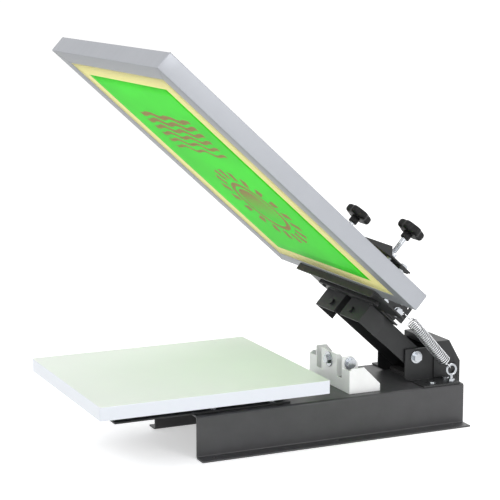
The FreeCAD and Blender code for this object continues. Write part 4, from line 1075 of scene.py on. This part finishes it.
@dataclass
class Clamp(SubAssembly):
    """One lobed knob on its threaded spindle.

    Attributes:
        side: Which side of the press it is on.
        across: Distance of its axis from the press's middle.
        along: Its place on the level head, behind the screen's rear edge.
        rod_rad: Radius of the thread's crests.
        pitch: The thread's pitch.
        depth: The thread's depth.
        rod_low: Height at which the spindle leaves its pad.
        hub_low: Height at which the knob's hub starts.
        hub_rad: Radius of the hub.
        knob_low: Height at which the knob starts.
        knob_rad: Radius of the knob between a lobe and a hollow.
        lobe: How much further a lobe reaches, as a share of the knob's radius.
        lobes: Number of lobes.
        run_out: Length in which the thread fades at each end.
        shank: Length of the plain shank under the hub.
        chamfer: Chamfer of the hub's lower edge.
        seat: How far the hub reaches into the knob.
        edge: Width of the bevel on the hub's edges.
        turn_rows: Rows of points in a turn of the thread.
        turn_steps: Points round the thread.

    The table PROFILE is the knob's section, as radius and height over its lower face.
    """

    PROFILE: ClassVar[tuple[tuple[float, float], ...]] = (
        (0.0, 0.0), (0.0150, 0.0), (0.0190, 0.0002), (0.0212, 0.0011), (0.0224, 0.0030),
        (0.0228, 0.0055), (0.0228, 0.0110), (0.0222, 0.0135), (0.0206, 0.0151),
        (0.0182, 0.0159), (0.0155, 0.0160), (0.0112, 0.0156), (0.0104, 0.0146),
        (0.0094, 0.0143), (0.0, 0.0143))

    side: Side = Side.RIGHT
    across: float = 0.0955
    along: float = -0.0115
    rod_rad: float = 0.0047
    pitch: float = 0.0015875
    depth: float = 0.0006
    rod_low: float = 0.0374
    hub_low: float = 0.112
    hub_rad: float = 0.0085
    knob_low: float = 0.124
    knob_rad: float = 0.0228
    lobe: float = 0.1184
    lobes: int = 6
    run_out: float = 0.003
    shank: float = 0.010
    chamfer: float = 0.0010
    seat: float = 0.0002
    edge: float = 0.0003
    turn_rows: int = 9
    turn_steps: int = 28

    def build(self) -> None:
        """Build the knob and its spindle on the turning body."""
        self.body = "screw_%s" % self.side.word
        self.knob()
        self.thread()
        self.hub()

    def stand(self, name: str, points: np.ndarray, finish: Finish) -> bpy.types.Object:
        """Put a form that is turned about Z on the spindle's axis.

        Args:
            name: The piece's name, without its side.
            points: The form's grid of points, height by angle.
            finish: Its finish.

        Returns:
            The linked object, dressed.
        """
        points = HEAD.tip(points + (self.across * self.side.value, self.along, 0.0))
        faces = grid_faces(*points.shape[:2], wrap_columns=True)
        return surface("%s_%s" % (name, self.side.word), points, faces, finish)

    def lobed(self, angle: np.ndarray, radius: np.ndarray) -> np.ndarray:
        """Give the factor on a radius: 1 and a cosine that fades in with its fourth power."""
        fade = np.clip(radius / self.knob_rad, 0.0, 1.0) ** 4
        return 1.0 + self.lobe * np.cos(self.lobes * angle) * fade

    def knob(self) -> None:
        """Turn the moulded knob, its lobes fading out towards the middle."""
        profile = np.array(self.PROFILE) + (0.0, self.knob_low)
        item = self.stand("lobed_knob", turned(profile, spin=144, shape=self.lobed), KNOB)
        self.take(item, "knob_black", "clamp_knob_%s" % self.side.word)

    def thread(self) -> None:
        """Cut the spindle's thread as one helical surface.

        The groove is a cosine of the height less the angle's share of a turn, and fades at both
        ends.
        """
        rows = int((self.hub_low - self.rod_low) / self.pitch * self.turn_rows)
        height = np.linspace(self.rod_low, self.hub_low, rows)[:, None]
        angle = np.linspace(0.0, 2.0 * math.pi, self.turn_steps, endpoint=False)
        turn = (height - self.rod_low) / self.pitch - angle / (2.0 * math.pi)
        fade = np.clip((height - self.rod_low) / self.run_out, 0.0, 1.0) \
            * np.clip((self.hub_low - self.shank - height) / self.run_out, 0.0, 1.0)
        radius = self.rod_rad - self.depth * fade * (0.5 - 0.5 * np.cos(2.0 * math.pi * turn))
        points = np.stack([radius * np.cos(angle), radius * np.sin(angle),
                           np.broadcast_to(height, radius.shape)], axis=-1)
        item = self.stand("threaded_spindle", points, ZINC)
        self.take(item, "zinc_hardware", "clamp_spindle_%s" % self.side.word)

    def hub(self) -> None:
        """Turn the moulded hub with a chamfered lower edge."""
        top = self.knob_low + self.seat
        profile = [(self.rod_rad, self.hub_low + self.seat),
                   (self.hub_rad - self.chamfer, self.hub_low),
                   (self.hub_rad, self.hub_low + self.chamfer), (self.hub_rad, top), (0.0, top)]
        item = self.stand("knob_hub", turned(profile, spin=48), KNOB)
        soften(item, self.edge)
        self.take(item, "knob_black")


@dataclass(frozen=True)
class Lamp:
    """A soft lamp: where it hangs, what it faces, its size in metres and its power in watts."""

    name: str
    place: Place
    aim: Place
    size: float
    power: float

    def hang(self) -> None:
        """Make the lamp and turn it towards its aim."""
        data = bpy.data.lights.new(self.name, "AREA")
        data.shape = "DISK"
        data.size = self.size
        data.energy = self.power
        item = bpy.data.objects.new(self.name, data)
        bpy.context.scene.collection.objects.link(item)
        item.location = self.place
        heading = Vector(self.aim) - Vector(self.place)
        item.rotation_euler = heading.to_track_quat("-Z", "Y").to_euler()


@dataclass
class Studio:
    """The photograph's camera, its white surroundings and its soft lamps.

    Attributes:
        camera_at: Where the camera stands.
        camera_pitch: How far it looks down, in radians.
        camera_round: How far it is turned about Z, in radians.
        lens: Its focal length in millimetres.
        sensor: Its sensor's width in millimetres.
        ambient: Strength of the even light from all round.
        floor_half: Half the floor's width in metres.
        lamps: The soft lamps.
    """

    camera_at: Place = (2.54970, -1.28812, 0.83140)
    camera_pitch: float = -0.1771
    camera_round: float = 1.1404
    lens: float = 118.96
    sensor: float = 36.0
    ambient: float = 0.62
    floor_half: float = 30.0
    lamps: tuple[Lamp, ...] = (
        Lamp("key_lamp", (1.0, -2.5, 2.3), (0.0, -0.1, 0.25), 1.6, 30.0),
        Lamp("rim_lamp", (-1.5, 1.7, 1.9), (0.0, 0.1, 0.25), 1.2, 18.0),
        Lamp("side_lamp", (2.7, 0.6, 1.4), (0.0, 0.1, 0.2), 1.2, 22.5),
    )

    def build(self) -> None:
        """Set the whole studio up."""
        bpy.context.scene.view_settings.view_transform = "Standard"
        self.camera()
        self.world()
        self.floor()
        for lamp in self.lamps:
            lamp.hang()
        LOG.info("the studio has %d lamps", len(self.lamps))

    def camera(self) -> None:
        """Stand the camera where the photograph's was."""
        data = bpy.data.cameras.new("photo_camera")
        data.lens = self.lens
        data.sensor_width = self.sensor
        item = bpy.data.objects.new("photo_camera", data)
        item.location = self.camera_at
        item.rotation_euler = (math.pi / 2 + self.camera_pitch, 0.0, self.camera_round)
        bpy.context.scene.collection.objects.link(item)
        bpy.context.scene.camera = item

    def world(self) -> None:
        """Light the press evenly and show plain white to camera, mirror and glass rays."""
        world = bpy.data.worlds.new("white_room")
        world.use_nodes = True
        sheet = NodeSheet(world.node_tree)
        sheet.tree.nodes.clear()
        mix = sheet.node("ShaderNodeMixShader")
        sheet.link(sheet.white_rays(), mix.inputs["Fac"])
        for index, strength in ((1, self.ambient), (2, 1.0)):
            room = sheet.node("ShaderNodeBackground")
            room.inputs["Color"].default_value = WHITE
            room.inputs["Strength"].default_value = strength
            sheet.link(room.outputs["Background"], mix.inputs[index])
        out = sheet.node("ShaderNodeOutputWorld")
        sheet.link(mix.outputs["Shader"], out.inputs["Surface"])
        bpy.context.scene.world = world

    def floor(self) -> None:
        """Lay a wide white floor that still takes the press's shadow."""
        steps = np.linspace(-self.floor_half, self.floor_half, 9)
        x, y = np.meshgrid(steps, steps, indexing="ij")
        points = np.stack([x, y, np.zeros_like(x)], axis=-1)
        faces = grid_faces(*x.shape)[:, ::-1]
        surface("studio_floor", points, faces, FLOOR)


def main() -> None:
    """Load the frame, dress it, build the fuller forms and finish."""
    logging.basicConfig(level=logging.INFO, format="%(message)s")
    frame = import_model()
    CadSkin(frame["nodes"]).dress_all()
    Screen().build()
    for side in Side:
        LiftSpring(side=side).build()
        Clamp(side=side).build()
    Studio().build()


if __name__ == "__main__":
    main()
